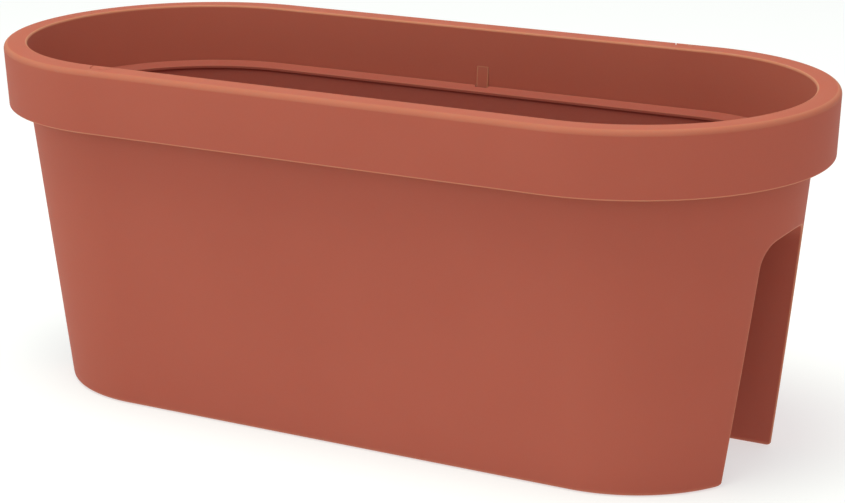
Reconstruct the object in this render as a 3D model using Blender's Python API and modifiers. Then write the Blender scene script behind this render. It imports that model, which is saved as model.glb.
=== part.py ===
"""A self watering railing planter: a saddle-shaped case, a lift-out planting insert and its watering gear.

Metres, +Z up. The origin is the middle of the footprint, X runs along the planter and -Y is its front.
Every wall of the case and of the insert is a stadium in plan: a turned profile pulled apart along X.
"""

import math

import bmesh
import bpy
from mathutils import Matrix

# --- driving sizes -------------------------------------------------------------------------------
HEIGHT = 0.244
RIM_RADIUS = 0.132  # half of the overall width of 264 mm
RIM_HALF_STRAIGHT = 0.168  # with the radius this gives the overall length of 600 mm
CUFF_HEIGHT = 0.0432
CUFF_DRAFT = 0.0021
CUFF_WALL = 0.0026
CUFF_EDGE = 0.0035  # radius of the rim's outer top edge
RIM_INNER_EDGE = 0.0015
RIM_WIDTH = 0.0187  # the rim's flat top on the long sides, from edge to edge
RIM_END_REACH = 0.0032  # how much nearer the rim's inner edge comes to its outer one at the ends

WALL = 0.003  # case wall
BOTTOM_RADIUS = 0.0923
BOTTOM_HALF_STRAIGHT = 0.1707
RADIUS_AT_CUFF = 0.1157
FOOT_EDGE = 0.003

CHANNEL_HALF_FOOT = 0.0405  # railing channel: half widths at the foot and at the crown
CHANNEL_HALF_CROWN = 0.0328
CHANNEL_CROWN = 0.161
CHANNEL_CORNER = 0.016

INSERT_WALL = 0.002
INSERT_GAP = 0.004  # water gap between the case's ridge and the insert's
FLANGE_TOP = 0.2003  # at its inner edge
FLANGE_RISE = 0.0036  # how much higher its outer edge stands
FLANGE_THICK = 0.0025
FLANGE_RADIUS = 0.1119
FLANGE_LIP = 0.001  # how far the flange stands in over the insert's wall
FLANGE_LIP_HEIGHT = 0.0018
INSERT_RADIUS = 0.1088  # outside of the insert's wall just under the flange
INSERT_FLOOR = 0.060  # top of the insert's floor

GAP = 0.0003  # between touching neighbours
FIT_GAP = 0.0004  # round a piece that drops into a hole
SKIM = 0.0006  # keeps a joined or cutting shape off a neighbour's faces
BEYOND = 0.32  # half the length of a cutter that passes both ends
CLEAR = 0.01  # how far a cutter runs past the face it opens

LEG_MIDDLE = 0.0685  # |y| of the cups and the gauge
CUP_X = 0.115
DRAIN_X = 0.0
DRAIN_Y = 0.0665
OVERFLOW_X = 0.045
OVERFLOW_Z = 0.053
OVERFLOW_RADIUS = 0.003
DRAIN_HOLE = 0.0064
FILLER_X = -0.055
GAUGE_X = 0.190

STADIUM_STEPS = 40
ROUND_STEPS = 24

CUFF_FOOT = HEIGHT - CUFF_HEIGHT
CASE_SLOPE = (RADIUS_AT_CUFF - BOTTOM_RADIUS) / CUFF_FOOT
RIM_SLOPE = (RIM_RADIUS - RIM_WIDTH + WALL - RADIUS_AT_CUFF) / CUFF_HEIGHT
STRAIGHT_SLOPE = (RIM_HALF_STRAIGHT - BOTTOM_HALF_STRAIGHT) / CUFF_FOOT
RIDGE_TOP = CHANNEL_CROWN + WALL
SADDLE_TOP = RIDGE_TOP + INSERT_GAP + INSERT_WALL  # top of the insert's own ridge

TERRACOTTA = (0.402, 0.118, 0.078, 1.0)
TERRACOTTA_DARK = (0.330, 0.085, 0.060, 1.0)
BLACK = (0.018, 0.018, 0.019, 1.0)
GREY = (0.16, 0.16, 0.165, 1.0)
FELT = (0.23, 0.24, 0.23, 1.0)
SIGNAL_RED = (0.60, 0.020, 0.016, 1.0)
WHITE = (0.72, 0.72, 0.70, 1.0)
STEEL = (0.62, 0.63, 0.65, 1.0)


def clear_scene():
    for old in list(bpy.data.objects):
        bpy.data.objects.remove(old, do_unlink=True)


def new_collection(name, hidden):
    collection = bpy.data.collections.new(name)
    bpy.context.scene.collection.children.link(collection)
    collection.hide_render = hidden
    return collection


clear_scene()
PARTS = new_collection("self_watering_planter", False)
CUTTERS = new_collection("cutters", True)


# --- helpers -------------------------------------------------------------------------------------
def material(name, color, roughness, metallic=0.0):
    made = bpy.data.materials.new(name)
    made.use_nodes = True
    shader = made.node_tree.nodes["Principled BSDF"]
    shader.inputs["Base Color"].default_value = color
    shader.inputs["Roughness"].default_value = roughness
    shader.inputs["Metallic"].default_value = metallic
    return made


def place(name, mesh, finish=None):
    """Links a mesh as a part, or as a hidden cutter where it has no finish."""
    mesh.name = name
    obj = bpy.data.objects.new(name, mesh)
    if finish is None:
        CUTTERS.objects.link(obj)
        obj.hide_render = True
        obj.display_type = "WIRE"
    else:
        PARTS.objects.link(obj)
        mesh.materials.clear()
        mesh.materials.append(finish)
        mesh.shade_smooth()
        mesh.set_sharp_from_angle(angle=math.radians(35))
    return obj


def cleaned(mesh):
    bm = bmesh.new()
    bm.from_mesh(mesh)
    bmesh.ops.remove_doubles(bm, verts=bm.verts, dist=1e-6)
    bmesh.ops.dissolve_degenerate(bm, edges=bm.edges, dist=1e-7)
    bmesh.ops.recalc_face_normals(bm, faces=bm.faces)
    bm.to_mesh(mesh)
    bm.free()
    return mesh


def evaluated_mesh(obj):
    """The mesh that an object's modifiers give. The object itself is removed."""
    bpy.context.view_layer.update()
    graph = bpy.context.evaluated_depsgraph_get()
    mesh = bpy.data.meshes.new_from_object(obj.evaluated_get(graph))
    mesh.transform(obj.matrix_world)
    bpy.data.objects.remove(obj, do_unlink=True)
    return cleaned(mesh)


def turned_mesh(profile, steps, first_angle=0.0):
    """Turns a profile of (radius, z), which runs down its outer side, about a vertical axis."""
    start = (math.cos(first_angle), math.sin(first_angle))
    bm = bmesh.new()
    corners = [bm.verts.new((r * start[0], r * start[1], z)) for r, z in profile]
    closed = profile[0][0] > 0 and profile[-1][0] > 0
    for first, second in zip(corners, corners[1:] + corners[:1] if closed else corners[1:]):
        bm.edges.new((first, second))
    outline = bpy.data.meshes.new("profile")
    bm.to_mesh(outline)
    bm.free()
    obj = bpy.data.objects.new("profile", outline)
    CUTTERS.objects.link(obj)
    screw = obj.modifiers.new("turn", "SCREW")
    screw.steps = screw.render_steps = steps
    screw.use_merge_vertices = True
    screw.merge_threshold = 1e-6
    return evaluated_mesh(obj)


def stadium_mesh(profile):
    """A turned profile whose two halves stand apart along X, so that its plan is a stadium.

    The radii grow by 1 / cos(half a step), which puts the flats of the polygon on the true radius.
    """
    half_step = math.pi / STADIUM_STEPS
    grown = [(r / math.cos(half_step), z) for r, z in profile]
    mesh = turned_mesh(grown, STADIUM_STEPS, first_angle=half_step)
    for vertex in mesh.vertices:
        if abs(vertex.co.x) > 1e-5:
            r = math.hypot(vertex.co.x, vertex.co.y) * math.cos(half_step)
            vertex.co.x += math.copysign(half_straight(vertex.co.z, r), vertex.co.x)
    return mesh


def prism_mesh(outline, low, high, along="z"):
    """An outline of (a, b) points, extruded from low to high along Z, or along X with (y, z) points."""
    curve = bpy.data.curves.new("outline", "CURVE")
    curve.dimensions = "2D"
    curve.fill_mode = "BOTH"
    curve.extrude = (high - low) / 2
    spline = curve.splines.new("POLY")
    spline.points.add(len(outline) - 1)
    for point, (a, b) in zip(spline.points, outline):
        point.co = (a, b, 0.0, 1.0)
    spline.use_cyclic_u = True
    obj = bpy.data.objects.new("outline", curve)
    CUTTERS.objects.link(obj)
    if along == "x":
        # The curve's own x, y and z become the world's y, z and x.
        obj.rotation_euler = (math.pi / 2, 0.0, math.pi / 2)
        obj.location = ((low + high) / 2, 0.0, 0.0)
    else:
        obj.location = (0.0, 0.0, (low + high) / 2)
    return evaluated_mesh(obj)


def box_mesh(low, high):
    bm = bmesh.new()
    bmesh.ops.create_cube(bm, size=1.0)
    for vertex in bm.verts:
        for i in range(3):
            vertex.co[i] = low[i] if vertex.co[i] < 0 else high[i]
    mesh = bpy.data.meshes.new("box")
    bm.to_mesh(mesh)
    bm.free()
    return cleaned(mesh)


def rod_mesh(radius, low, high, along, steps=ROUND_STEPS):
    """A cylinder along Z or Y, from the middle of its low end to the middle of its high end."""
    length = (high[2] - low[2]) if along == "z" else (high[1] - low[1])
    bm = bmesh.new()
    bmesh.ops.create_cone(
        bm, cap_ends=True, segments=steps, radius1=radius, radius2=radius, depth=length
    )
    if along == "y":
        bmesh.ops.rotate(bm, verts=bm.verts, matrix=Matrix.Rotation(math.pi / 2, 3, "X"))
    middle = [(a + b) / 2 for a, b in zip(low, high)]
    bmesh.ops.translate(bm, verts=bm.verts, vec=middle)
    mesh = bpy.data.meshes.new("rod")
    bm.to_mesh(mesh)
    bm.free()
    return cleaned(mesh)


def boolean(obj, operation, mesh, label):
    helper = place(f"{obj.name}_{label}", mesh)
    step = obj.modifiers.new(label, "BOOLEAN")
    step.operation = operation
    step.object = helper
    return helper


def cut(obj, mesh, label):
    return boolean(obj, "DIFFERENCE", mesh, label)


def join(obj, mesh, label):
    return boolean(obj, "UNION", mesh, label)


def keep(obj, mesh, label):
    return boolean(obj, "INTERSECT", mesh, label)


def arc(middle, radius, start_deg, end_deg, steps):
    """Points on an arc, both ends included."""
    angles = [math.radians(start_deg + (end_deg - start_deg) * i / steps) for i in range(steps + 1)]
    return [(middle[0] + radius * math.cos(a), middle[1] + radius * math.sin(a)) for a in angles]


def half_straight(z, r):
    """Half the length of the straight side at a height and radius.

    It shrinks a little up to the cuff's foot. Above that the inner wall lengthens and the cuff doesn't.
    """
    up_cuff = max(z - CUFF_FOOT, 0.0) / CUFF_HEIGHT
    inward = min(max((RIM_RADIUS - r) / RIM_WIDTH, 0.0), 1.0)
    base = BOTTOM_HALF_STRAIGHT + STRAIGHT_SLOPE * min(z, CUFF_FOOT)
    return base + RIM_END_REACH * up_cuff * inward


def case_radius(z):
    """The outer radius of the case's wall, which stands nearly upright inside the cuff."""
    return BOTTOM_RADIUS + CASE_SLOPE * min(z, CUFF_FOOT) + RIM_SLOPE * max(z - CUFF_FOOT, 0.0)


def insert_radius(z):
    """The outer radius of the insert's wall."""
    return INSERT_RADIUS - CASE_SLOPE * (FLANGE_TOP - FLANGE_THICK - z)


def arch_outline(offset, foot_z):
    """The railing channel's section (y, z) grown by an offset, with straight feet down to foot_z."""
    lean = (CHANNEL_HALF_FOOT - CHANNEL_HALF_CROWN) / CHANNEL_CROWN
    corner = CHANNEL_CORNER + offset
    crown = CHANNEL_CROWN + offset
    side = math.sqrt(1 + lean * lean)
    reach = CHANNEL_HALF_FOOT + offset * side  # half width of the grown section at z = 0
    middle_z = crown - corner
    middle_y = reach - lean * middle_z - corner * side
    lean_deg = math.degrees(math.atan(lean))
    right = arc((middle_y, middle_z), corner, lean_deg, 90, 6)
    left = [(-y, z) for y, z in reversed(right)]
    foot = reach - lean * foot_z
    return [(foot, foot_z)] + right + left + [(-foot, foot_z)]


# --- case ----------------------------------------------------------------------------------------
def case_profile():
    """Down from the rim's inner edge: over the rim, down the cuff, up its inside, down the wall, floor."""
    rim_inner = case_radius(HEIGHT) - WALL
    ledge_z = FLANGE_TOP - FLANGE_THICK - GAP
    ledge = INSERT_RADIUS + FIT_GAP
    ledge_height = 0.003
    floor_edge = 0.002
    cuff_root = 0.001  # how much the cuff's wall leans in towards its root
    over_rim = [
        (case_radius(CUFF_FOOT) - WALL, CUFF_FOOT),
        (rim_inner, HEIGHT - RIM_INNER_EDGE),
        (rim_inner + RIM_INNER_EDGE, HEIGHT),
    ]
    outer_edge = arc((RIM_RADIUS - CUFF_EDGE, HEIGHT - CUFF_EDGE), CUFF_EDGE, 90, 0, 4)
    cuff = [
        (RIM_RADIUS - CUFF_DRAFT, CUFF_FOOT),
        (RIM_RADIUS - CUFF_DRAFT - CUFF_WALL, CUFF_FOOT),
        (RIM_RADIUS - CUFF_WALL - cuff_root, HEIGHT - WALL),
    ]
    body = [(case_radius(HEIGHT - WALL), HEIGHT - WALL), (RADIUS_AT_CUFF, CUFF_FOOT)]
    foot = arc((BOTTOM_RADIUS - FOOT_EDGE, FOOT_EDGE), FOOT_EDGE, -6, -90, 3)
    floor = [(0.0, 0.0)]
    inside = [
        (0.0, WALL),
        (case_radius(WALL) - WALL - floor_edge, WALL),
        (case_radius(WALL + floor_edge) - WALL, WALL + floor_edge),
        (case_radius(ledge_z - 2 * ledge_height) - WALL, ledge_z - 2 * ledge_height),
        (ledge, ledge_z - ledge_height),
        (ledge, ledge_z),
        (case_radius(ledge_z) - WALL, ledge_z),
    ]
    return inside + over_rim + outer_edge + cuff + body + foot + floor


COVER_WIDTH = 0.0085  # from the short side to the rim's outer edge
COVER_DEPTH = 0.0055
COVER_HALF_SHORT = 0.0060
COVER_HALF_LONG = 0.0095
COVER_REACH = 0.0125  # the prism runs past the rim's outer edge
COVERS = {
    # name: where the middle of the trapezium's short side stands
    "rim_cover_back_right": (0.149, RIM_RADIUS - COVER_WIDTH),
    "rim_cover_front_left": (-0.160, -(RIM_RADIUS - COVER_WIDTH)),
}
LEG_INNER = 0.0032  # the snap legs' |x| from the cover's middle
LEG_OUTER = 0.0050
LEG_NEAR = 0.0004  # their y from the short side
LEG_FAR = 0.0020
LEG_FOOT = HEIGHT - 0.012
LEG_TOP = HEIGHT - 0.0015


def cover_outline(inset):
    """A rim cover's trapezium in plan about its own middle: the long side lies towards +Y."""
    side = inset * 1.4  # the inset measured along X at the slanted sides
    return [
        (-COVER_HALF_SHORT + inset, inset),
        (COVER_HALF_SHORT - inset, inset),
        (COVER_HALF_LONG - side, COVER_REACH),
        (-COVER_HALF_LONG + side, COVER_REACH),
    ]


def cover_prism(place_xy, inset, low, high):
    outline = [(x + place_xy[0], y + place_xy[1]) for x, y in cover_outline(inset)]
    return prism_mesh(outline, low, high)


def make_case(finish):
    case = place("outer_case", stadium_mesh(case_profile()), finish)
    limit = solid_profile(case_radius, WALL / 2, SKIM, RIDGE_TOP + CLEAR)
    join(case, ridge_mesh(arch_outline(WALL, SKIM), limit), "ridge")
    cut(case, prism_mesh(arch_outline(0.0, -CLEAR), -BEYOND, BEYOND, "x"), "channel")
    for side, y in (("front", -DRAIN_Y), ("back", DRAIN_Y)):
        hole = rod_mesh(DRAIN_HOLE, (DRAIN_X, y, -CLEAR), (DRAIN_X, y, CLEAR), "z")
        cut(case, hole, f"drain_{side}")
    reach = CHANNEL_HALF_FOOT + CLEAR
    ends = (OVERFLOW_X, -reach, OVERFLOW_Z), (OVERFLOW_X, reach, OVERFLOW_Z)
    overflow = rod_mesh(OVERFLOW_RADIUS, *ends, "y", 16)
    cut(case, overflow, "overflow")
    for side, sign in (("front", -1), ("back", 1)):
        join(case, rib_mesh(sign), f"rib_{side}")
    for name, where in COVERS.items():
        cut(case, cover_prism(where, 0.0, HEIGHT - COVER_DEPTH, HEIGHT + CLEAR), name)


def solid_profile(radius_at, inset, low, high):
    """A plain solid inside a wall: from the axis out, down the wall, and back."""
    return [
        (0.0, high),
        (radius_at(high) - inset, high),
        (radius_at(low) - inset, low),
        (0.0, low),
    ]


def ridge_mesh(outline, limit_profile):
    """A prism along the channel that ends inside the stadium walls of a solid profile."""
    ridge = place("ridge_blank", prism_mesh(outline, -BEYOND, BEYOND, "x"))
    keep(ridge, stadium_mesh(limit_profile), "limit")
    return evaluated_mesh(ridge)


RIB_HALF = 0.0045
RIB_FOOT = FLANGE_TOP - 0.0045
RIB_TOP = 0.217
RIB_PROUD = 0.0018  # at its foot
RIB_TOP_PROUD = 0.0006
NOTCH_GAP = 0.0006


def rib_mesh(sign):
    """An upright rib in the middle of a long side, which keys the insert and fades out upwards.

    It starts as a box one unit deep either side of zero, whose faces then move into and off the wall.
    """
    mesh = box_mesh((-RIB_HALF, -1.0, RIB_FOOT), (RIB_HALF, 1.0, RIB_TOP))
    for vertex in mesh.vertices:
        proud = RIB_PROUD if vertex.co.z < (RIB_FOOT + RIB_TOP) / 2 else RIB_TOP_PROUD
        inward = -WALL / 2 if vertex.co.y > 0 else proud
        vertex.co.y = sign * (case_radius(vertex.co.z) - WALL - inward)
    return cleaned(mesh)


def notch_mesh(sign):
    """The box that clears the rib from the insert's flange."""
    inner = case_radius(RIB_FOOT) - WALL - RIB_PROUD - NOTCH_GAP
    y_low, y_high = sorted((sign * inner, sign * RIM_RADIUS))
    half = RIB_HALF + NOTCH_GAP
    return box_mesh((-half, y_low, RIB_FOOT - CLEAR), (half, y_high, RIB_TOP + CLEAR))


def make_rim_cover(name, finish):
    """A flush cover: the rim's own section inside the trapezium, on two snap legs."""
    where = COVERS[name]
    cover = place(name, stadium_mesh(case_profile()), finish)
    low = HEIGHT - COVER_DEPTH + GAP
    keep(cover, cover_prism(where, GAP, low, HEIGHT + CLEAR), "limit")
    for side, sign in (("left", -1), ("right", 1)):
        x_low, x_high = sorted((where[0] + sign * LEG_INNER, where[0] + sign * LEG_OUTER))
        leg = box_mesh((x_low, where[1] + LEG_NEAR, LEG_FOOT), (x_high, where[1] + LEG_FAR, LEG_TOP))
        join(cover, leg, f"leg_{side}")


# --- planting insert -----------------------------------------------------------------------------
def insert_profile():
    """Up the inside to the flange, which rises outwards, and down the outside to the floor."""
    flange_foot = FLANGE_TOP - FLANGE_THICK
    flange_rim = FLANGE_TOP + FLANGE_RISE
    floor_foot = INSERT_FLOOR - INSERT_WALL
    floor_edge = 0.003
    under_edge = 0.004
    lip_edge = 0.0008
    rim_edge = 0.0005
    wall = insert_radius(flange_foot) - INSERT_WALL
    lip = wall - FLANGE_LIP
    lip_foot = FLANGE_TOP - FLANGE_LIP_HEIGHT
    return [
        (0.0, INSERT_FLOOR),
        (insert_radius(INSERT_FLOOR) - INSERT_WALL - floor_edge, INSERT_FLOOR),
        (insert_radius(INSERT_FLOOR + floor_edge) - INSERT_WALL, INSERT_FLOOR + floor_edge),
        (wall, lip_foot - FLANGE_LIP),
        (lip, lip_foot),
        (lip, FLANGE_TOP - lip_edge),
        (lip + lip_edge, FLANGE_TOP),
        (FLANGE_RADIUS - rim_edge, flange_rim),
        (FLANGE_RADIUS, flange_rim - rim_edge),
        (FLANGE_RADIUS, flange_foot),
        (INSERT_RADIUS, flange_foot),
        (insert_radius(floor_foot + under_edge), floor_foot + under_edge),
        (insert_radius(floor_foot) - under_edge, floor_foot),
        (0.0, floor_foot),
    ]


def cup_places():
    """Name ending and middle of each wick cup."""
    for end, x in (("left", -CUP_X), ("right", CUP_X)):
        for side, y in (("front", -LEG_MIDDLE), ("back", LEG_MIDDLE)):
            yield f"{side}_{end}", x, y


CUP_HOLE = 0.0164
GAUGE_HOLE = 0.0119
FILLER_HOLE = 0.0174
GRIP_NOTCH = 0.0045


def make_insert(finish):
    insert = place("planting_insert", stadium_mesh(insert_profile()), finish)
    under = INSERT_FLOOR - INSERT_WALL
    offset = WALL + INSERT_GAP
    limit = solid_profile(insert_radius, INSERT_WALL / 2, under + SKIM, SADDLE_TOP + CLEAR)
    join(insert, ridge_mesh(arch_outline(offset + INSERT_WALL, under + SKIM), limit), "saddle")
    cut(insert, prism_mesh(arch_outline(offset, -CLEAR), -BEYOND, BEYOND, "x"), "passage")
    floor_low, floor_high = under - CLEAR, INSERT_FLOOR + CLEAR
    for ending, x, y in cup_places():
        hole = rod_mesh(CUP_HOLE, (x, y, floor_low), (x, y, floor_high), "z")
        cut(insert, hole, f"cup_{ending}")
    gauge = rod_mesh(
        GAUGE_HOLE, (GAUGE_X, -LEG_MIDDLE, floor_low), (GAUGE_X, -LEG_MIDDLE, floor_high), "z"
    )
    cut(insert, gauge, "gauge")
    ends = (FILLER_X, 0.0, SADDLE_TOP - CLEAR), (FILLER_X, 0.0, SADDLE_TOP + CLEAR)
    cut(insert, rod_mesh(FILLER_HOLE, *ends, "z"), "filler")
    for side, sign in (("front", -1), ("back", 1)):
        cut(insert, notch_mesh(sign), f"notch_{side}")
    for end, sign in (("left", -1), ("right", 1)):
        x = sign * (half_straight(FLANGE_TOP, FLANGE_RADIUS) + FLANGE_RADIUS + GRIP_NOTCH / 2)
        grip = rod_mesh(GRIP_NOTCH, (x, 0.0, RIB_FOOT), (x, 0.0, FLANGE_TOP + CLEAR), "z", 16)
        cut(insert, grip, f"grip_{end}")


# --- wick cups and felt discs --------------------------------------------------------------------
CUP_TOP_RADIUS = 0.0158
CUP_FOOT_RADIUS = 0.0128
CUP_WALL = 0.0015
CUP_FOOT = 0.0065
CUP_FLANGE = 0.0195
CUP_FLANGE_THICK = 0.0016
CUP_DROP = 0.004  # radius of the hole in a cup's floor
CUP_SLOTS = 3  # each slot's box cuts both sides
CUP_SLOT_HALF = 0.0015
CUP_SLOT_LOW = 0.014
CUP_SLOT_HIGH = 0.046
SLOT_REACH = 0.03  # half the length of a box that cuts slots on both sides of a round wall
FELT_RADIUS = 0.0102
FELT_THICK = 0.003
FELT_EDGE = 0.0006


def cup_mesh():
    """A tapered cup with a flange, six slots in its wall and a hole in its floor, at x = y = 0."""
    flange_foot = INSERT_FLOOR + GAP
    top = flange_foot + CUP_FLANGE_THICK
    profile = [
        (CUP_DROP, CUP_FOOT + CUP_WALL),
        (CUP_FOOT_RADIUS - CUP_WALL, CUP_FOOT + CUP_WALL),
        (CUP_TOP_RADIUS - CUP_WALL, top),
        (CUP_FLANGE, top),
        (CUP_FLANGE, flange_foot),
        (CUP_TOP_RADIUS, flange_foot),
        (CUP_FOOT_RADIUS, CUP_FOOT),
        (CUP_DROP, CUP_FOOT),
    ]
    cup = place("cup_blank", turned_mesh(profile, ROUND_STEPS))
    for i in range(CUP_SLOTS):
        low = (-SLOT_REACH, -CUP_SLOT_HALF, CUP_SLOT_LOW)
        high = (SLOT_REACH, CUP_SLOT_HALF, CUP_SLOT_HIGH)
        cut(cup, turned_about_z(box_mesh(low, high), math.pi * (i + 0.5) / CUP_SLOTS), f"slot_{i}")
    return evaluated_mesh(cup)


def turned_about_z(mesh, angle):
    mesh.transform(Matrix.Rotation(angle, 4, "Z"))
    return mesh


def make_cups(cup_finish, felt_finish):
    blank = cup_mesh()
    low = CUP_FOOT + CUP_WALL + GAP
    top = low + FELT_THICK
    felt_profile = [
        (0.0, top),
        (FELT_RADIUS - FELT_EDGE, top),
        (FELT_RADIUS, top - FELT_EDGE),
        (FELT_RADIUS, low + FELT_EDGE),
        (FELT_RADIUS - FELT_EDGE, low),
        (0.0, low),
    ]
    felt = turned_mesh(felt_profile, 16)
    for ending, x, y in cup_places():
        cup = place(f"wick_cup_{ending}", blank.copy(), cup_finish)
        cup.location = (x, y, 0.0)
        disc = place(f"felt_disc_{ending}", felt.copy(), felt_finish)
        disc.location = (x, y, 0.0)


# --- drain plugs ---------------------------------------------------------------------------------
PLUG_HEAD = 0.0100
PLUG_HEAD_HEIGHT = 0.0025
PLUG_BARREL = 0.0058
PLUG_EDGE = 0.0008
PLUG_FOOT = 0.0005
SEAL_INNER = 0.0063
SEAL_OUTER = 0.0092
SEAL_THICK = 0.0015
FIN_HALF = 0.006
FIN_HALF_THICK = 0.0011
FIN_HEIGHT = 0.008


def make_drains(plug_finish, seal_finish):
    seal_foot = WALL + GAP
    seal_top = seal_foot + SEAL_THICK
    head_foot = seal_top + GAP
    head_top = head_foot + PLUG_HEAD_HEIGHT
    profile = [
        (0.0, head_top),
        (PLUG_HEAD - PLUG_EDGE, head_top),
        (PLUG_HEAD, head_top - PLUG_EDGE),
        (PLUG_HEAD, head_foot),
        (PLUG_BARREL, head_foot),
        (PLUG_BARREL, PLUG_FOOT + PLUG_EDGE),
        (PLUG_BARREL - PLUG_EDGE, PLUG_FOOT),
        (0.0, PLUG_FOOT),
    ]
    ring = [
        (SEAL_INNER, seal_top),
        (SEAL_OUTER, seal_top),
        (SEAL_OUTER, seal_foot),
        (SEAL_INNER, seal_foot),
    ]
    for side, y in (("front", -DRAIN_Y), ("back", DRAIN_Y)):
        plug = place(f"drain_plug_{side}", turned_mesh(profile, ROUND_STEPS), plug_finish)
        fin_low = (-FIN_HALF, -FIN_HALF_THICK, head_top - PLUG_EDGE)
        fin = box_mesh(fin_low, (FIN_HALF, FIN_HALF_THICK, head_top + FIN_HEIGHT))
        join(plug, fin, "fin").parent = plug
        plug.location = (DRAIN_X, y, 0.0)
        seal = place(f"drain_seal_{side}", turned_mesh(ring, ROUND_STEPS), seal_finish)
        seal.location = (DRAIN_X, y, 0.0)


# --- filler --------------------------------------------------------------------------------------
NECK_TOP = 0.196
NECK_RADIUS = 0.017
NECK_BORE = 0.0142
NECK_MOUTH = 0.0152  # the wider bore above the step that the grate hangs on
NECK_BASE = 0.022
NECK_BASE_THICK = 0.002
NECK_FOOT = SADDLE_TOP - 0.0035
STEP_Z = 0.192
HINGE_X = -0.0215  # from the neck's axis
HINGE_Z = 0.1975
HINGE_RADIUS = 0.003
PIN_RADIUS = 0.00125
PIN_HOLE = 0.00134
LUG_INNER = 0.0060
LUG_OUTER = 0.0090
LUG_FOOT = 0.186
CHEEK_FOOT = 0.190
LUG_REACH = 0.0138  # |x| from the neck's axis at which a lug's root ends, inside the round wall
CAP_RADIUS = 0.0185
CAP_THICK = 0.0025
CAP_EDGE = 0.0007
CAP_PLUG_OUTER = 0.0147
CAP_PLUG_INNER = 0.0132
CAP_PLUG_DEPTH = 0.0018
TAB_REACH = 0.0225
TAB_HALF = 0.004
TAB_STEP = 0.0006  # how much lower the tab's top lies
GRATE_FOOT = 0.173
GRATE_WALL = 0.0015
GRATE_FLANGE = 0.0149
GRATE_FLANGE_THICK = 0.0012
GRATE_TOP_RADIUS = 0.0137
GRATE_FOOT_RADIUS = 0.0132
GRATE_HOLE = 0.003
GRATE_SLOTS = 3
GRATE_SLOT_HALF = 0.0012
GRATE_SLOT_LOW = 0.1765
GRATE_SLOT_HIGH = 0.189


def shifted(mesh, x, y=0.0, z=0.0):
    mesh.transform(Matrix.Translation((x, y, z)))
    return mesh


def make_filler_neck(finish):
    foot = SADDLE_TOP + GAP
    profile = [
        (NECK_BORE, STEP_Z),
        (NECK_MOUTH, STEP_Z),
        (NECK_MOUTH, NECK_TOP),
        (NECK_RADIUS, NECK_TOP),
        (NECK_RADIUS, foot + NECK_BASE_THICK),
        (NECK_BASE, foot + NECK_BASE_THICK),
        (NECK_BASE, foot),
        (NECK_RADIUS, foot),
        (NECK_RADIUS, NECK_FOOT),
        (NECK_BORE, NECK_FOOT),
    ]
    neck = place("filler_neck", shifted(turned_mesh(profile, ROUND_STEPS), FILLER_X), finish)
    hinge_x = FILLER_X + HINGE_X
    for side, sign in (("front", -1), ("back", 1)):
        low, high = sorted((sign * LUG_INNER, sign * LUG_OUTER))
        back = hinge_x - HINGE_RADIUS
        root = box_mesh((back, low, LUG_FOOT), (FILLER_X - LUG_REACH, high, HINGE_Z - HINGE_RADIUS))
        join(neck, root, f"root_{side}")
        cheek = box_mesh((back, low, CHEEK_FOOT), (hinge_x + HINGE_RADIUS, high, HINGE_Z))
        join(neck, cheek, f"cheek_{side}")
        ear = rod_mesh(HINGE_RADIUS, (hinge_x, low, HINGE_Z), (hinge_x, high, HINGE_Z), "y", 16)
        join(neck, ear, f"ear_{side}")
    ends = (hinge_x, -LUG_OUTER - CLEAR, HINGE_Z), (hinge_x, LUG_OUTER + CLEAR, HINGE_Z)
    cut(neck, rod_mesh(PIN_HOLE, *ends, "y", 16), "pin_hole")
    # The bore is cleared once more, because the lugs' roots reach into the round wall.
    bore = rod_mesh(NECK_MOUTH, (FILLER_X, 0.0, STEP_Z), (FILLER_X, 0.0, NECK_TOP + CLEAR), "z")
    cut(neck, bore, "bore")


def make_filler_cap(finish):
    """A round lid with a finger tab and a hinge knuckle. Its origin is on the hinge's axis."""
    low = NECK_TOP + GAP
    high = low + CAP_THICK
    plug_foot = low - CAP_PLUG_DEPTH
    profile = [
        (0.0, high),
        (CAP_RADIUS - CAP_EDGE, high),
        (CAP_RADIUS, high - CAP_EDGE),
        (CAP_RADIUS, low),
        (CAP_PLUG_OUTER, low),
        (CAP_PLUG_OUTER, plug_foot),
        (CAP_PLUG_INNER, plug_foot),
        (CAP_PLUG_INNER, low),
        (0.0, low),
    ]
    mesh = shifted(turned_mesh(profile, ROUND_STEPS), -HINGE_X, 0.0, -HINGE_Z)
    cap = place("filler_cap", mesh, finish)
    cap.location = (FILLER_X + HINGE_X, 0.0, HINGE_Z)
    half = LUG_INNER - FIT_GAP
    foot, top = low - HINGE_Z, high - HINGE_Z
    arm = box_mesh((0.0, -half, foot), (-HINGE_X - CAP_PLUG_INNER, half, top))
    tab = box_mesh((-HINGE_X, -TAB_HALF, foot), (-HINGE_X + TAB_REACH, TAB_HALF, top - TAB_STEP))
    knuckle = rod_mesh(HINGE_RADIUS, (0.0, -half, 0.0), (0.0, half, 0.0), "y", 16)
    hole = rod_mesh(PIN_HOLE, (0.0, -half - CLEAR, 0.0), (0.0, half + CLEAR, 0.0), "y", 16)
    for label, mesh in (("arm", arm), ("tab", tab), ("knuckle", knuckle)):
        join(cap, mesh, label).parent = cap
    cut(cap, hole, "pin_hole").parent = cap


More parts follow.
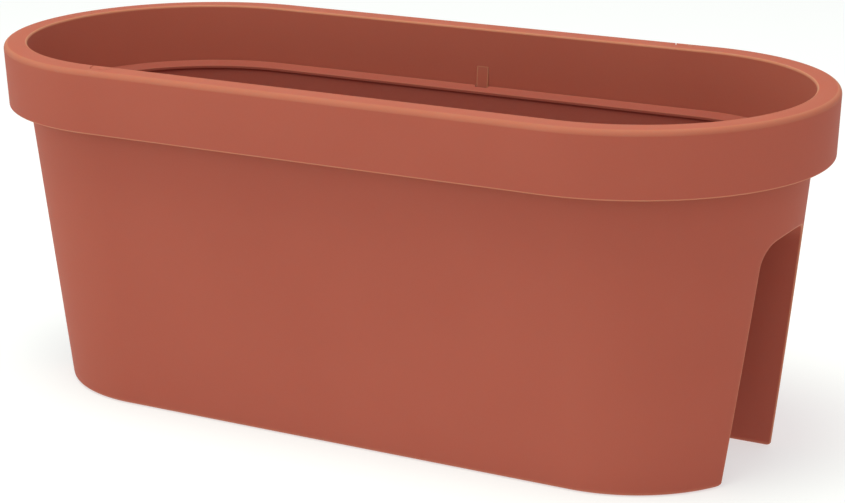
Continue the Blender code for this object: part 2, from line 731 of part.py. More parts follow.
def make_filler_grate(finish):
    """A slotted basket that hangs on the step inside the neck."""
    flange_foot = STEP_Z + GAP
    flange_top = flange_foot + GRATE_FLANGE_THICK
    profile = [
        (GRATE_HOLE, GRATE_FOOT + GRATE_WALL),
        (GRATE_FOOT_RADIUS - GRATE_WALL, GRATE_FOOT + GRATE_WALL),
        (GRATE_TOP_RADIUS - GRATE_WALL, flange_top),
        (GRATE_FLANGE, flange_top),
        (GRATE_FLANGE, flange_foot),
        (GRATE_TOP_RADIUS, flange_foot),
        (GRATE_FOOT_RADIUS, GRATE_FOOT),
        (GRATE_HOLE, GRATE_FOOT),
    ]
    grate = place("filler_grate", shifted(turned_mesh(profile, ROUND_STEPS), FILLER_X), finish)
    for i in range(GRATE_SLOTS):
        low = (-SLOT_REACH, -GRATE_SLOT_HALF, GRATE_SLOT_LOW)
        high = (SLOT_REACH, GRATE_SLOT_HALF, GRATE_SLOT_HIGH)
        slot = turned_about_z(box_mesh(low, high), math.pi * (i + 0.5) / GRATE_SLOTS)
        cut(grate, shifted(slot, FILLER_X), f"slot_{i}")


def make_hinge_pin(finish):
    x = FILLER_X + HINGE_X
    reach = LUG_OUTER + 2 * GAP
    mesh = rod_mesh(PIN_RADIUS, (x, -reach, HINGE_Z), (x, reach, HINGE_Z), "y", 16)
    place("filler_hinge_pin", mesh, finish)


# --- water level gauge ---------------------------------------------------------------------------
TUBE_RADIUS = 0.0115
TUBE_BORE = 0.0098
TUBE_FOOT = 0.0045
TUBE_TOP = 0.195
TUBE_FLOOR = 0.0015
TUBE_HOLE = 0.004
TUBE_FLANGE = 0.0155
TUBE_SLOTS = 2
TUBE_SLOT_HALF = 0.002
TUBE_SLOT_LOW = 0.010
TUBE_SLOT_HIGH = 0.044
TUBE_SLOT_TURN = math.radians(7.5)  # sets the slots on the flats of the round wall
COLLAR_FOOT = TUBE_TOP + GAP
COLLAR_THICK = 0.002
COLLAR_RADIUS = 0.0127
COLLAR_EDGE = 0.0007
COLLAR_HOLE = 0.0026
SKIRT_OUTER = 0.0094
SKIRT_INNER = 0.0078
SKIRT_DEPTH = 0.007
FLOAT_FOOT = TUBE_FOOT + TUBE_FLOOR + GAP
FLOAT_TOP = FLOAT_FOOT + 0.0165
FLOAT_RADIUS = 0.0090
FLOAT_EDGE = 0.0012
ROD_RADIUS = 0.002
SOCKET_RADIUS = ROD_RADIUS + GAP
FLOAT_SOCKET = FLOAT_TOP - 0.008
MARKER_FOOT = 0.1993
MARKER_SOCKET = MARKER_FOOT + 0.0035
MARKER_TOP = MARKER_FOOT + 0.006
MARKER_RADIUS = 0.0045
MARKER_EDGE = 0.0014


def gauge_place(mesh):
    return shifted(mesh, GAUGE_X, -LEG_MIDDLE)


def make_gauge_tube(finish):
    """A tube that stands in the reservoir, with slots that let the water in and a flange on the floor."""
    flange = INSERT_FLOOR + GAP
    profile = [
        (TUBE_HOLE, TUBE_FOOT + TUBE_FLOOR),
        (TUBE_BORE, TUBE_FOOT + TUBE_FLOOR),
        (TUBE_BORE, TUBE_TOP),
        (TUBE_RADIUS, TUBE_TOP),
        (TUBE_RADIUS, flange + TUBE_FLOOR),
        (TUBE_FLANGE, flange + TUBE_FLOOR),
        (TUBE_FLANGE, flange),
        (TUBE_RADIUS, flange),
        (TUBE_RADIUS, TUBE_FOOT),
        (TUBE_HOLE, TUBE_FOOT),
    ]
    tube = place("gauge_tube", gauge_place(turned_mesh(profile, ROUND_STEPS)), finish)
    for i in range(TUBE_SLOTS):
        low = (-SLOT_REACH, -TUBE_SLOT_HALF, TUBE_SLOT_LOW)
        high = (SLOT_REACH, TUBE_SLOT_HALF, TUBE_SLOT_HIGH)
        slot = turned_about_z(box_mesh(low, high), math.pi * i / TUBE_SLOTS + TUBE_SLOT_TURN)
        cut(tube, gauge_place(slot), f"slot_{i}")


def make_gauge_collar(finish):
    """The cap of the tube, with a skirt inside it and a hole that guides the rod."""
    profile = [
        (COLLAR_HOLE, COLLAR_FOOT + COLLAR_THICK),
        (COLLAR_RADIUS - COLLAR_EDGE, COLLAR_FOOT + COLLAR_THICK),
        (COLLAR_RADIUS, COLLAR_FOOT + COLLAR_THICK - COLLAR_EDGE),
        (COLLAR_RADIUS, COLLAR_FOOT),
        (SKIRT_OUTER, COLLAR_FOOT),
        (SKIRT_OUTER, COLLAR_FOOT - SKIRT_DEPTH),
        (SKIRT_INNER, COLLAR_FOOT - SKIRT_DEPTH),
        (SKIRT_INNER, COLLAR_FOOT),
        (COLLAR_HOLE, COLLAR_FOOT),
    ]
    place("gauge_collar", gauge_place(turned_mesh(profile, ROUND_STEPS)), finish)


def make_float_and_rod(float_finish, rod_finish):
    profile = [
        (0.0, FLOAT_SOCKET),
        (SOCKET_RADIUS, FLOAT_SOCKET),
        (SOCKET_RADIUS, FLOAT_TOP),
        (FLOAT_RADIUS - FLOAT_EDGE, FLOAT_TOP),
        (FLOAT_RADIUS, FLOAT_TOP - FLOAT_EDGE),
        (FLOAT_RADIUS, FLOAT_FOOT + FLOAT_EDGE),
        (FLOAT_RADIUS - FLOAT_EDGE, FLOAT_FOOT),
        (0.0, FLOAT_FOOT),
    ]
    place("gauge_float", gauge_place(turned_mesh(profile, ROUND_STEPS)), float_finish)
    low, high = (0.0, 0.0, FLOAT_SOCKET + GAP), (0.0, 0.0, MARKER_SOCKET - GAP)
    place("gauge_rod", gauge_place(rod_mesh(ROD_RADIUS, low, high, "z", 12)), rod_finish)


def make_gauge_marker(finish):
    profile = [
        (0.0, MARKER_TOP),
        (MARKER_RADIUS - MARKER_EDGE, MARKER_TOP),
        (MARKER_RADIUS, MARKER_TOP - MARKER_EDGE),
        (MARKER_RADIUS, MARKER_FOOT),
        (SOCKET_RADIUS, MARKER_FOOT),
        (SOCKET_RADIUS, MARKER_SOCKET),
        (0.0, MARKER_SOCKET),
    ]
    place("gauge_marker", gauge_place(turned_mesh(profile, 16)), finish)


def main():
    case_finish = material("case_plastic", TERRACOTTA, 0.55)
    make_case(case_finish)
    for name in COVERS:
        make_rim_cover(name, material(f"{name}_plastic", TERRACOTTA, 0.55))
    make_insert(material("insert_plastic", TERRACOTTA_DARK, 0.6))
    make_cups(material("cup_plastic", BLACK, 0.6), material("felt", FELT, 0.95))
    make_drains(material("plug_plastic", BLACK, 0.5), material("seal_rubber", GREY, 0.8))
    make_filler_neck(material("neck_plastic", TERRACOTTA_DARK, 0.55))
    make_filler_cap(material("cap_plastic", TERRACOTTA, 0.5))
    make_filler_grate(material("grate_plastic", BLACK, 0.6))
    make_hinge_pin(material("pin_steel", STEEL, 0.3, 1.0))
    make_gauge_tube(material("tube_plastic", WHITE, 0.35))
    make_gauge_collar(material("collar_plastic", BLACK, 0.5))
    make_float_and_rod(material("float_foam", WHITE, 0.8), material("rod_plastic", WHITE, 0.4))
    make_gauge_marker(material("marker_plastic", SIGNAL_RED, 0.4))


main()
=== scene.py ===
import math

import bmesh
import bpy
import numpy as np
from mathutils import Matrix, Vector


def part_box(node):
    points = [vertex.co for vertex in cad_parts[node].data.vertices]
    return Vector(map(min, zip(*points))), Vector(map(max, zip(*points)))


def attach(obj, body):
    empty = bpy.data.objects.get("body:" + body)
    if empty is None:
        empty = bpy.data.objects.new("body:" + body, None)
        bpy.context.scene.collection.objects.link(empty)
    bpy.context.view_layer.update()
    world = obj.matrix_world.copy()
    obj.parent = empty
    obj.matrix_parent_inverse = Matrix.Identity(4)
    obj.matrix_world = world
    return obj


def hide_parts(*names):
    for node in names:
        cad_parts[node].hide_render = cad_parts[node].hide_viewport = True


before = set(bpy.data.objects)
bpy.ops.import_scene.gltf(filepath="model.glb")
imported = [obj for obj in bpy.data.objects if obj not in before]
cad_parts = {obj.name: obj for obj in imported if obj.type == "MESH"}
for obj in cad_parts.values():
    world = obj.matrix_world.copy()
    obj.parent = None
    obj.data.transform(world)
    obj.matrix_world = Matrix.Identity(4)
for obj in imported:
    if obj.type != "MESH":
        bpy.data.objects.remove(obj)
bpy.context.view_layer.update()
print("frame loaded:", len(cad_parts), "nodes")


# Camera: a long lens, a little above the rim, looking along the planter's front
view = {
    "target": (0.0141, 0.0, 0.1116),
    "azimuth": 29.83,  # degrees, 0 looks along +Y
    "elevation": 16.21,
    "distance": 1.673,
    "roll": -0.52,
    "lens": 105.06,
    "sensor": 36.0,
}


def makeCamera(v):
    # Camera at target + distance * (sin az cos el, -cos az cos el, sin el), turned to look back along that
    # line and then rolled about it.
    data = bpy.data.cameras.new("studioCamera")
    data.lens, data.sensor_width = v["lens"], v["sensor"]
    camera = bpy.data.objects.new("studioCamera", data)
    bpy.context.scene.collection.objects.link(camera)
    az, el = math.radians(v["azimuth"]), math.radians(v["elevation"])
    back = Vector((math.sin(az) * math.cos(el), -math.cos(az) * math.cos(el), math.sin(el)))
    camera.location = Vector(v["target"]) + back * v["distance"]
    turn = (-back).to_track_quat("-Z", "Y") @ Matrix.Rotation(math.radians(v["roll"]), 3, "Z").to_quaternion()
    camera.rotation_mode = "QUATERNION"
    camera.rotation_quaternion = turn
    bpy.context.scene.camera = camera


makeCamera(view)


# Mesh helpers
def gridFaces(rows, columns, wrapRows=False, wrapColumns=False, start=0):
    # Quads of a rows x columns grid of points, numbered row by row from start.
    r = np.arange(rows if wrapRows else rows - 1)[:, None]
    c = np.arange(columns if wrapColumns else columns - 1)[None, :]
    r2, c2 = (r + 1) % rows, (c + 1) % columns
    faces = np.stack([r * columns + c, r * columns + c2, r2 * columns + c2, r2 * columns + c], axis=-1)
    return faces.reshape(-1, 4) + start


class Skin:
    # Collects point grids and faces until they become one mesh.

    def __init__(self):
        self.points, self.faces, self.count = [], [], 0

    def grid(self, points, wrapRows=False, wrapColumns=False):
        rows, columns = points.shape[:2]
        self.faces += gridFaces(rows, columns, wrapRows, wrapColumns, self.count).tolist()
        self.points.append(points.reshape(-1, 3))
        self.count += rows * columns

    def cap(self, loop):
        # One flat face over a loop of points.
        self.faces.append(list(range(self.count, self.count + len(loop))))
        self.points.append(loop)
        self.count += len(loop)

    def mesh(self, name, weld=2e-6):
        mesh = bpy.data.meshes.new(name)
        mesh.from_pydata(np.concatenate(self.points).tolist(), [], self.faces)
        b = bmesh.new()
        b.from_mesh(mesh)
        bmesh.ops.remove_doubles(b, verts=b.verts, dist=weld)
        bmesh.ops.dissolve_degenerate(b, edges=b.edges, dist=1e-7)
        bmesh.ops.recalc_face_normals(b, faces=b.faces)
        b.to_mesh(mesh)
        b.free()
        return mesh


def markEdges(mesh):
    # Float attribute "edge" per vertex: the largest convex fold across its edges over the distance between
    # the two face middles, which is one over the bend's radius, scaled so that a 1.5 mm bend gives 1.
    # Folds of more than one radian are cut corners, not bends, and count as nothing.
    # The plastic materials read this attribute to paint a highlight on tight rounded edges.
    edges, faces = len(mesh.edges), len(mesh.polygons)
    loopEdge = np.zeros(len(mesh.loops), np.int32)
    mesh.loops.foreach_get("edge_index", loopEdge)
    total = np.zeros(faces, np.int32)
    normal, middle = np.zeros(faces * 3, np.float32), np.zeros(faces * 3, np.float32)
    mesh.polygons.foreach_get("loop_total", total)
    mesh.polygons.foreach_get("normal", normal)
    mesh.polygons.foreach_get("center", middle)
    normal, middle = normal.reshape(-1, 3), middle.reshape(-1, 3)
    order = np.argsort(loopEdge, kind="stable")
    owner, edgeOf = np.repeat(np.arange(faces), total)[order], loopEdge[order]
    pair = np.flatnonzero(edgeOf[1:] == edgeOf[:-1])
    a, b, edge = owner[pair], owner[pair + 1], edgeOf[pair]
    apart = middle[b] - middle[a]
    span = np.maximum(np.linalg.norm(apart, axis=1), 1e-5)
    fold = np.arccos(np.clip((normal[a] * normal[b]).sum(1), -1, 1))
    bend = np.where(((apart * normal[a]).sum(1) < 0) & (fold < 1.0), fold / span, 0.0)
    ends = np.zeros(edges * 2, np.int32)
    mesh.edges.foreach_get("vertices", ends)
    ends = ends.reshape(-1, 2)
    value = np.zeros(len(mesh.vertices), np.float32)
    for side in (0, 1):
        np.maximum.at(value, ends[edge, side], bend * 0.0015)
    mesh.attributes.new("edge", "FLOAT", "POINT").data.foreach_set("value", np.clip(value, 0, 1))


def addPiece(name, mesh, material, body, slot, *nodes, sharp=38):
    # Links a mesh as one piece: smooth faces, one material, riding on its body.
    mesh.name = name
    markEdges(mesh)
    piece = bpy.data.objects.new(name, mesh)
    bpy.context.scene.collection.objects.link(piece)
    mesh.materials.clear()
    mesh.materials.append(material)
    mesh.shade_smooth()
    mesh.set_sharp_from_angle(angle=math.radians(sharp))
    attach(piece, body)
    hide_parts(*nodes)
    return piece


def joined(*meshes):
    # All points and faces of several meshes in one, nothing merged.
    b = bmesh.new()
    for mesh in meshes:
        b.from_mesh(mesh)
    whole = bpy.data.meshes.new("joined")
    b.to_mesh(whole)
    b.free()
    return whole


def carved(mesh, cutter, operation="DIFFERENCE"):
    # The mesh after a Boolean with a second mesh.
    target = bpy.data.objects.new("target", mesh)
    tool = bpy.data.objects.new("tool", cutter)
    for each in (target, tool):
        bpy.context.scene.collection.objects.link(each)
    step = target.modifiers.new("carve", "BOOLEAN")
    step.operation, step.object = operation, tool
    bpy.context.view_layer.update()
    result = bpy.data.meshes.new_from_object(target.evaluated_get(bpy.context.evaluated_depsgraph_get()))
    for each in (target, tool):
        bpy.data.objects.remove(each, do_unlink=True)
    return result


def rounded(corners, closed=False, steps=6):
    # A path through (a, b, radius) corners, each turned into a tangent arc of that radius.
    path, n = [], len(corners)
    for i, (a, b, radius) in enumerate(corners):
        here = np.array((a, b), float)
        if radius <= 0 or (not closed and i in (0, n - 1)):
            path.append(here)
            continue
        before = np.array(corners[i - 1][:2], float) - here
        after = np.array(corners[(i + 1) % n][:2], float) - here
        u, v = before / np.linalg.norm(before), after / np.linalg.norm(after)
        half = math.acos(max(-1.0, min(1.0, float(u @ v)))) / 2
        if half > math.pi / 2 - 0.02:
            path.append(here)
            continue
        middle = here + (u + v) / np.linalg.norm(u + v) * radius / math.sin(half)
        start, end = here + u * radius / math.tan(half), here + v * radius / math.tan(half)
        first = math.atan2(*(start - middle)[::-1])
        sweep = (math.atan2(*(end - middle)[::-1]) - first + math.pi) % (2 * math.pi) - math.pi
        angles = first + sweep * np.linspace(0, 1, steps + 1)
        path += list(middle + radius * np.stack([np.cos(angles), np.sin(angles)], axis=1))
    return np.array(path)


def turned(path, centre=(0.0, 0.0), steps=96, closed=False):
    # Surface of revolution: (r, z) carried round the angle a gives (r cos a, r sin a, z).
    a = np.linspace(0, 2 * np.pi, steps, endpoint=False)[None, :]
    r, z = path[:, :1], path[:, 1:]
    points = np.stack([centre[0] + r * np.cos(a), centre[1] + r * np.sin(a), z + 0 * a], axis=-1)
    skin = Skin()
    skin.grid(points, wrapRows=closed, wrapColumns=True)
    return skin.mesh("turned")


def slab(outline, low, high, edge=0.0, steps=3, along="z"):
    # An outline carried from low to high, drawn in at both ends over a quarter round of size edge.
    ahead, behind = np.roll(outline, -1, axis=0), np.roll(outline, 1, axis=0)
    tangent = ahead - behind
    tangent /= np.linalg.norm(tangent, axis=1, keepdims=True)
    inward = np.stack([-tangent[:, 1], tangent[:, 0]], axis=1)
    if (np.cross(outline, ahead)).sum() < 0:
        inward = -inward
    turn = np.linspace(0, np.pi / 2, steps + 1) if edge else np.array([np.pi / 2])
    inset = edge * (1 - np.sin(turn))
    rise = edge * (1 - np.cos(turn))
    insets = np.concatenate([inset, inset[::-1]])
    heights = np.concatenate([low + rise, high - rise[::-1]])
    flat = outline[None] + inward[None] * insets[:, None, None]
    level = np.broadcast_to(heights[:, None], flat.shape[:2])
    axes = {"z": (flat[..., 0], flat[..., 1], level), "y": (flat[..., 0], level, flat[..., 1]),
            "x": (level, flat[..., 0], flat[..., 1])}[along]
    points = np.stack(axes, axis=-1)
    skin = Skin()
    skin.grid(points, wrapColumns=True)
    skin.cap(points[0])
    skin.cap(points[-1])
    return skin.mesh("slab")


def boxOutline(a0, a1, b0, b1, radius=0.0, steps=4):
    # The rectangle a0..a1 by b0..b1, its corners turned into arcs of the radius.
    return rounded([(a0, b0, radius), (a1, b0, radius), (a1, b1, radius), (a0, b1, radius)], True, steps)


def circleOutline(a, b, radius, steps=48):
    # Points (a + r cos t, b + r sin t) for evenly spaced t.
    t = np.linspace(0, 2 * np.pi, steps, endpoint=False)
    return np.stack([a + radius * np.cos(t), b + radius * np.sin(t)], axis=1)


nearlyRound = 0.98  # a slot end's radius over half its width, so that its two arcs don't quite meet


def spun(mesh, degrees, x, y):
    # The mesh turned about its own upright axis and set down at x, y.
    mesh.transform(Matrix.Translation((x, y, 0)) @ Matrix.Rotation(math.radians(degrees), 4, "Z"))
    return mesh


# Materials
def shaderOf(name):
    # A new node material, its tree and its Principled shader.
    material = bpy.data.materials.new(name)
    material.use_nodes = True
    tree = material.node_tree
    return material, tree, tree.nodes["Principled BSDF"]


def addNode(tree, kind, **values):
    # A new node. Each value sets the input of that name, or else the property of that name.
    node = tree.nodes.new(kind)
    for key, value in values.items():
        if key in node.inputs:
            node.inputs[key].default_value = value
        else:
            setattr(node, key, value)
    return node


def noiseOf(tree, place, scale, detail, **values):
    # Noise over the piece's own coordinates.
    noise = addNode(tree, "ShaderNodeTexNoise", Scale=scale, Detail=detail, **values)
    tree.links.new(place.outputs["Object"], noise.inputs["Vector"])
    return noise


def rangeOf(tree, source, given, wanted):
    # The source's factor carried linearly from the given range to the wanted one.
    scaled = addNode(tree, "ShaderNodeMapRange", **{
        "From Min": given[0], "From Max": given[1], "To Min": wanted[0], "To Max": wanted[1]})
    tree.links.new(source.outputs["Fac"], scaled.inputs["Value"])
    return scaled


def mouldedPlastic(name, look):
    # Injection moulded plastic: slow drifts of tone, a fine spark grain, a slightly uneven gloss, and tight
    # outward bends mixed towards a paler colour by the attribute "edge" times a strength, a painted highlight
    # on rounded edges.
    material, tree, shader = shaderOf(name)
    link = tree.links.new
    place = addNode(tree, "ShaderNodeTexCoord")
    drift = noiseOf(tree, place, 7.0, 3.0, Roughness=0.55)
    speck = noiseOf(tree, place, look.get("speckScale", 900.0), 2.0, Roughness=0.6)
    grain = noiseOf(tree, place, look.get("grainScale", 1500.0), 3.0, Roughness=0.7)
    ripple = noiseOf(tree, place, 26.0, 1.0)

    tones = addNode(tree, "ShaderNodeValToRGB")
    tones.color_ramp.elements[0].position, tones.color_ramp.elements[1].position = 0.32, 0.68
    tones.color_ramp.elements[0].color = (*look["deep"], 1)
    tones.color_ramp.elements[1].color = (*look["tone"], 1)
    link(drift.outputs["Fac"], tones.inputs["Fac"])
    specks = rangeOf(tree, speck, (0.35, 0.75), (0.0, look["specks"]))
    mixed = addNode(tree, "ShaderNodeMix", data_type="RGBA")
    mixed.inputs["B"].default_value = (*look.get("pale", look["tone"]), 1)
    link(specks.outputs["Result"], mixed.inputs["Factor"])
    link(tones.outputs["Color"], mixed.inputs["A"])
    # Painted highlight: the edge attribute times its strength mixes tight rounded edges towards a paler
    # colour.
    bends = addNode(tree, "ShaderNodeAttribute", attribute_name="edge")
    highlightAmount = addNode(tree, "ShaderNodeMath", operation="MULTIPLY")
    highlightAmount.inputs[1].default_value = look.get("edgeHighlightStrength", 0.3)
    link(bends.outputs["Fac"], highlightAmount.inputs[0])
    highlighted = addNode(tree, "ShaderNodeMix", data_type="RGBA")
    highlighted.inputs["B"].default_value = (*look.get("edgeHighlightTone", look["tone"]), 1)
    link(highlightAmount.outputs["Value"], highlighted.inputs["Factor"])
    link(mixed.outputs["Result"], highlighted.inputs["A"])
    link(highlighted.outputs["Result"], shader.inputs["Base Color"])

    gloss = rangeOf(tree, drift, (0.3, 0.7), look["roughness"])
    link(gloss.outputs["Result"], shader.inputs["Roughness"])

    grainBump = addNode(tree, "ShaderNodeBump", Strength=look["grain"], Distance=0.0002)
    link(grain.outputs["Fac"], grainBump.inputs["Height"])
    rippleBump = addNode(tree, "ShaderNodeBump", Strength=look.get("ripple", 0.06), Distance=0.002)
    link(ripple.outputs["Fac"], rippleBump.inputs["Height"])
    link(grainBump.outputs["Normal"], rippleBump.inputs["Normal"])
    link(rippleBump.outputs["Normal"], shader.inputs["Normal"])
    shader.inputs["Specular IOR Level"].default_value = look.get("specular", 0.45)
    shader.inputs["Subsurface Weight"].default_value = look.get("glow", 0.0)
    shader.inputs["Subsurface Radius"].default_value = (1.0, 0.25, 0.15)
    shader.inputs["Subsurface Scale"].default_value = 0.003
    return material


terracotta = {
    "tone": (0.410, 0.104, 0.070), "deep": (0.392, 0.097, 0.065), "pale": (0.46, 0.14, 0.085),
    "roughness": (0.54, 0.62), "specks": 0.08, "grain": 0.10, "ripple": 0.05, "specular": 0.03,
    # The edge colour and its strength below paint a highlight on tight rounded edges.
    "edgeHighlightTone": (0.54, 0.26, 0.15), "edgeHighlightStrength": 0.5, "glow": 0.30,
}
# The liner's plastic is the case plastic made about a fifth darker, painted shade for the inside of the pot,
# with a weaker painted edge highlight.
shadedLinerPlastic = dict(terracotta, tone=(0.330, 0.079, 0.058), deep=(0.314, 0.074, 0.054), edgeHighlightStrength=0.15)
blackPlastic = {
    "tone": (0.022, 0.022, 0.023), "deep": (0.016, 0.016, 0.017), "pale": (0.06, 0.06, 0.06),
    "roughness": (0.42, 0.55), "specks": 0.25, "grain": 0.16,
}
whitePlastic = {
    "tone": (0.66, 0.66, 0.63), "deep": (0.62, 0.62, 0.59), "pale": (0.74, 0.74, 0.72),
    "roughness": (0.28, 0.38), "specks": 0.1, "grain": 0.04,
}
foamLook = {
    "tone": (0.74, 0.74, 0.71), "deep": (0.66, 0.66, 0.63), "pale": (0.9, 0.9, 0.88), "speckScale": 520.0,
    "roughness": (0.8, 0.9), "specks": 0.5, "grain": 0.6, "grainScale": 700.0,
}
redPlastic = {
    "tone": (0.58, 0.018, 0.014), "deep": (0.50, 0.014, 0.012), "pale": (0.7, 0.08, 0.06),
    "roughness": (0.25, 0.35), "specks": 0.1, "grain": 0.05,
}
sealLook = {
    "tone": (0.05, 0.05, 0.052), "deep": (0.036, 0.036, 0.038), "pale": (0.1, 0.1, 0.1),
    "roughness": (0.7, 0.82), "specks": 0.3, "grain": 0.3, "specular": 0.25,
}
caseMaterial = mouldedPlastic("terracottaPlastic", terracotta)
shadedLinerMaterial = mouldedPlastic("shadedLinerPlastic", shadedLinerPlastic)
blackMaterial = mouldedPlastic("blackPlastic", blackPlastic)
whiteMaterial = mouldedPlastic("whitePlastic", whitePlastic)
foamMaterial = mouldedPlastic("closedCellFoam", foamLook)
redMaterial = mouldedPlastic("signalPlastic", redPlastic)
sealMaterial = mouldedPlastic("sealRubber", sealLook)


def drawnWire(name):
    # Bright drawn steel with fine scratches along Y.
    material, tree, shader = shaderOf(name)
    place = addNode(tree, "ShaderNodeTexCoord")
    stretch = addNode(tree, "ShaderNodeMapping", Scale=(4000.0, 90.0, 4000.0))
    lines = addNode(tree, "ShaderNodeTexNoise", Scale=1.0, Detail=2.0)
    tree.links.new(place.outputs["Object"], stretch.inputs["Vector"])
    tree.links.new(stretch.outputs["Vector"], lines.inputs["Vector"])
    tones = addNode(tree, "ShaderNodeValToRGB")
    tones.color_ramp.elements[0].color = (0.45, 0.46, 0.48, 1)
    tones.color_ramp.elements[1].color = (0.68, 0.69, 0.70, 1)
    tree.links.new(lines.outputs["Fac"], tones.inputs["Fac"])
    tree.links.new(tones.outputs["Color"], shader.inputs["Base Color"])
    gloss = rangeOf(tree, lines, (0.0, 1.0), (0.22, 0.42))
    tree.links.new(gloss.outputs["Result"], shader.inputs["Roughness"])
    shader.inputs["Metallic"].default_value = 1.0
    return material


def needleFelt(name):
    # Pressed felt: two crossed, stretched noises as matted fibres over a mottled grey.
    material, tree, shader = shaderOf(name)
    link = tree.links.new
    place = addNode(tree, "ShaderNodeTexCoord")
    heights = []
    for turn in (0.4, 1.7):
        lie = addNode(tree, "ShaderNodeMapping", Rotation=(0.0, 0.0, turn), Scale=(2600.0, 420.0, 900.0))
        fibres = addNode(tree, "ShaderNodeTexNoise", Scale=1.0, Detail=3.0, Distortion=1.2)
        link(place.outputs["Object"], lie.inputs["Vector"])
        link(lie.outputs["Vector"], fibres.inputs["Vector"])
        heights.append(fibres)
    matted = addNode(tree, "ShaderNodeMath", operation="MAXIMUM")
    link(heights[0].outputs["Fac"], matted.inputs[0])
    link(heights[1].outputs["Fac"], matted.inputs[1])
    tones = addNode(tree, "ShaderNodeValToRGB")
    tones.color_ramp.elements[0].position, tones.color_ramp.elements[1].position = 0.38, 0.72
    tones.color_ramp.elements[0].color = (0.12, 0.125, 0.12, 1)
    tones.color_ramp.elements[1].color = (0.42, 0.43, 0.41, 1)
    link(matted.outputs["Value"], tones.inputs["Fac"])
    link(tones.outputs["Color"], shader.inputs["Base Color"])
    bump = addNode(tree, "ShaderNodeBump", Strength=0.9, Distance=0.0004)
    link(matted.outputs["Value"], bump.inputs["Height"])
    link(bump.outputs["Normal"], shader.inputs["Normal"])
    shader.inputs["Roughness"].default_value = 0.95
    shader.inputs["Sheen Weight"].default_value = 0.3
    return material


wireMaterial = drawnWire("drawnWire")
feltMaterial = needleFelt("needleFelt")
print("materials made")


# The saddle: walls, ridge and channel shared by the case and the liner
caseLow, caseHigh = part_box("outer_case")
linerLow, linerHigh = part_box("planting_insert")
rimTop, rimRadius = caseHigh.z, caseHigh.y
rimStraight = caseHigh.x - rimRadius
planter = {
    "cuffHeight": 0.0432, "cuffDraft": 0.0021, "cuffWall": 0.0026, "wall": 0.003,
    "footRadius": 0.0923, "shoulderRadius": 0.1157,  # of the wall at the floor and at the cuff's foot
    "footStraight": rimStraight + 0.0027,
    "channelFoot": 0.0405, "channelLean": 0.04783, "channelCorner": 0.016,
    "channelCrown": 0.161, "crownRadius": 0.110,
    "rimWidth": 0.0187,  # of the rim's top at the sides
    "rimEndReach": 0.0032,  # by which it is narrower at the ends
}
cuffFoot = rimTop - planter["cuffHeight"]
wallSlope = (planter["shoulderRadius"] - planter["footRadius"]) / cuffFoot
wallTop = rimRadius - planter["rimWidth"] + planter["wall"]  # the wall's outer radius if it ran up to the rim
rimSlope = (wallTop - planter["shoulderRadius"]) / planter["cuffHeight"]


def straightAt(z, radius):
    # Half the straight side of the plan: it falls linearly from the foot to the cuff's foot, and above that
    # it grows with the height and with how far the radius lies inside the rim's outer edge.
    up = np.clip((z - cuffFoot) / planter["cuffHeight"], 0, 1)
    inward = np.clip((rimRadius - radius) / planter["rimWidth"], 0, 1)
    low = np.minimum(z, cuffFoot) / cuffFoot
    base = planter["footStraight"] + (rimStraight - planter["footStraight"]) * low
    return base + planter["rimEndReach"] * up * inward


def caseWall(z):
    # Outer radius of the wall: one slope up to the cuff's foot, then a nearly upright one.
    low, high = np.minimum(z, cuffFoot), np.maximum(z - cuffFoot, 0)
    return planter["footRadius"] + wallSlope * low + rimSlope * high


def archRows(offset, foot, bend, sideRows=16, cornerRows=14, crownRows=12):
    # Half of the channel's section from foot to crown: width, height, normal and the foot's drawing in.
    # A leaning side, a tangent corner arc and a shallow crown arc, all moved outwards by offset.
    p = planter
    lean, corner, crown = p["channelLean"], p["channelCorner"], p["crownRadius"]
    side = math.hypot(1, lean)
    a, k = p["channelFoot"] - corner * side, p["channelCrown"] - crown
    # The corner's middle keeps its distance to the side and lies crown - corner from the crown's middle.
    q = (side**2, -2 * (a * lean + k), a * a + k * k - (crown - corner) ** 2)
    zc = (-q[1] + math.sqrt(q[1] ** 2 - 4 * q[0] * q[2])) / (2 * q[0])
    yc = a - lean * zc
    first, last = math.atan(lean), math.atan2(zc - k, yc)
    turn = np.linspace(0, np.pi / 2, 7)
    bendZ, bendIn = foot + bend * (1 - np.cos(turn)), bend * (1 - np.sin(turn))
    top = zc + (corner + offset) * math.sin(first)
    z = np.concatenate([bendZ, np.linspace(foot + bend, top, sideRows + 1)[1:-1]])
    drawn = np.concatenate([bendIn, np.zeros(sideRows - 1)])
    width = p["channelFoot"] + offset * side - lean * z + drawn
    ny, nz = np.full_like(z, 1 / side), np.full_like(z, lean / side)
    arc = np.linspace(first, last, cornerRows, endpoint=False)
    width = np.append(width, yc + (corner + offset) * np.cos(arc))
    z = np.append(z, zc + (corner + offset) * np.sin(arc))
    ny, nz = np.append(ny, np.cos(arc)), np.append(nz, np.sin(arc))
    arc = np.linspace(last, np.pi / 2, crownRows)
    width = np.append(width, (crown + offset) * np.cos(arc))
    z = np.append(z, k + (crown + offset) * np.sin(arc))
    ny, nz = np.append(ny, np.cos(arc)), np.append(nz, np.sin(arc))
    width[-1], ny[-1], nz[-1] = 0.0, 0.0, 1.0
    return width, z, ny, nz, np.append(drawn, np.zeros(len(z) - len(drawn)))


arcSteps, straightSteps, tunnelSteps, lipSteps = 56, 28, 22, 6


def halfRing(radius, z, first=0.0):
    # Points along the front of a stadium, from angle first at the right end round to the left end.
    radius, z, first = (np.asarray(v, float)[:, None] for v in np.broadcast_arrays(radius, z, first))
    straight = straightAt(z, radius)
    a = first + (np.pi / 2 - first) * np.linspace(0, 1, arcSteps)[None, :]
    x, y = straight + radius * np.cos(a), -radius * np.sin(a)
    run = np.linspace(1, -1, straightSteps)[None, 1:-1]
    x = np.concatenate([x, straight * run, -x[:, ::-1]], axis=1)
    y = np.concatenate([y, -radius + 0 * run, y[:, ::-1]], axis=1)
    return np.stack([x, y, z + 0 * x], axis=-1)


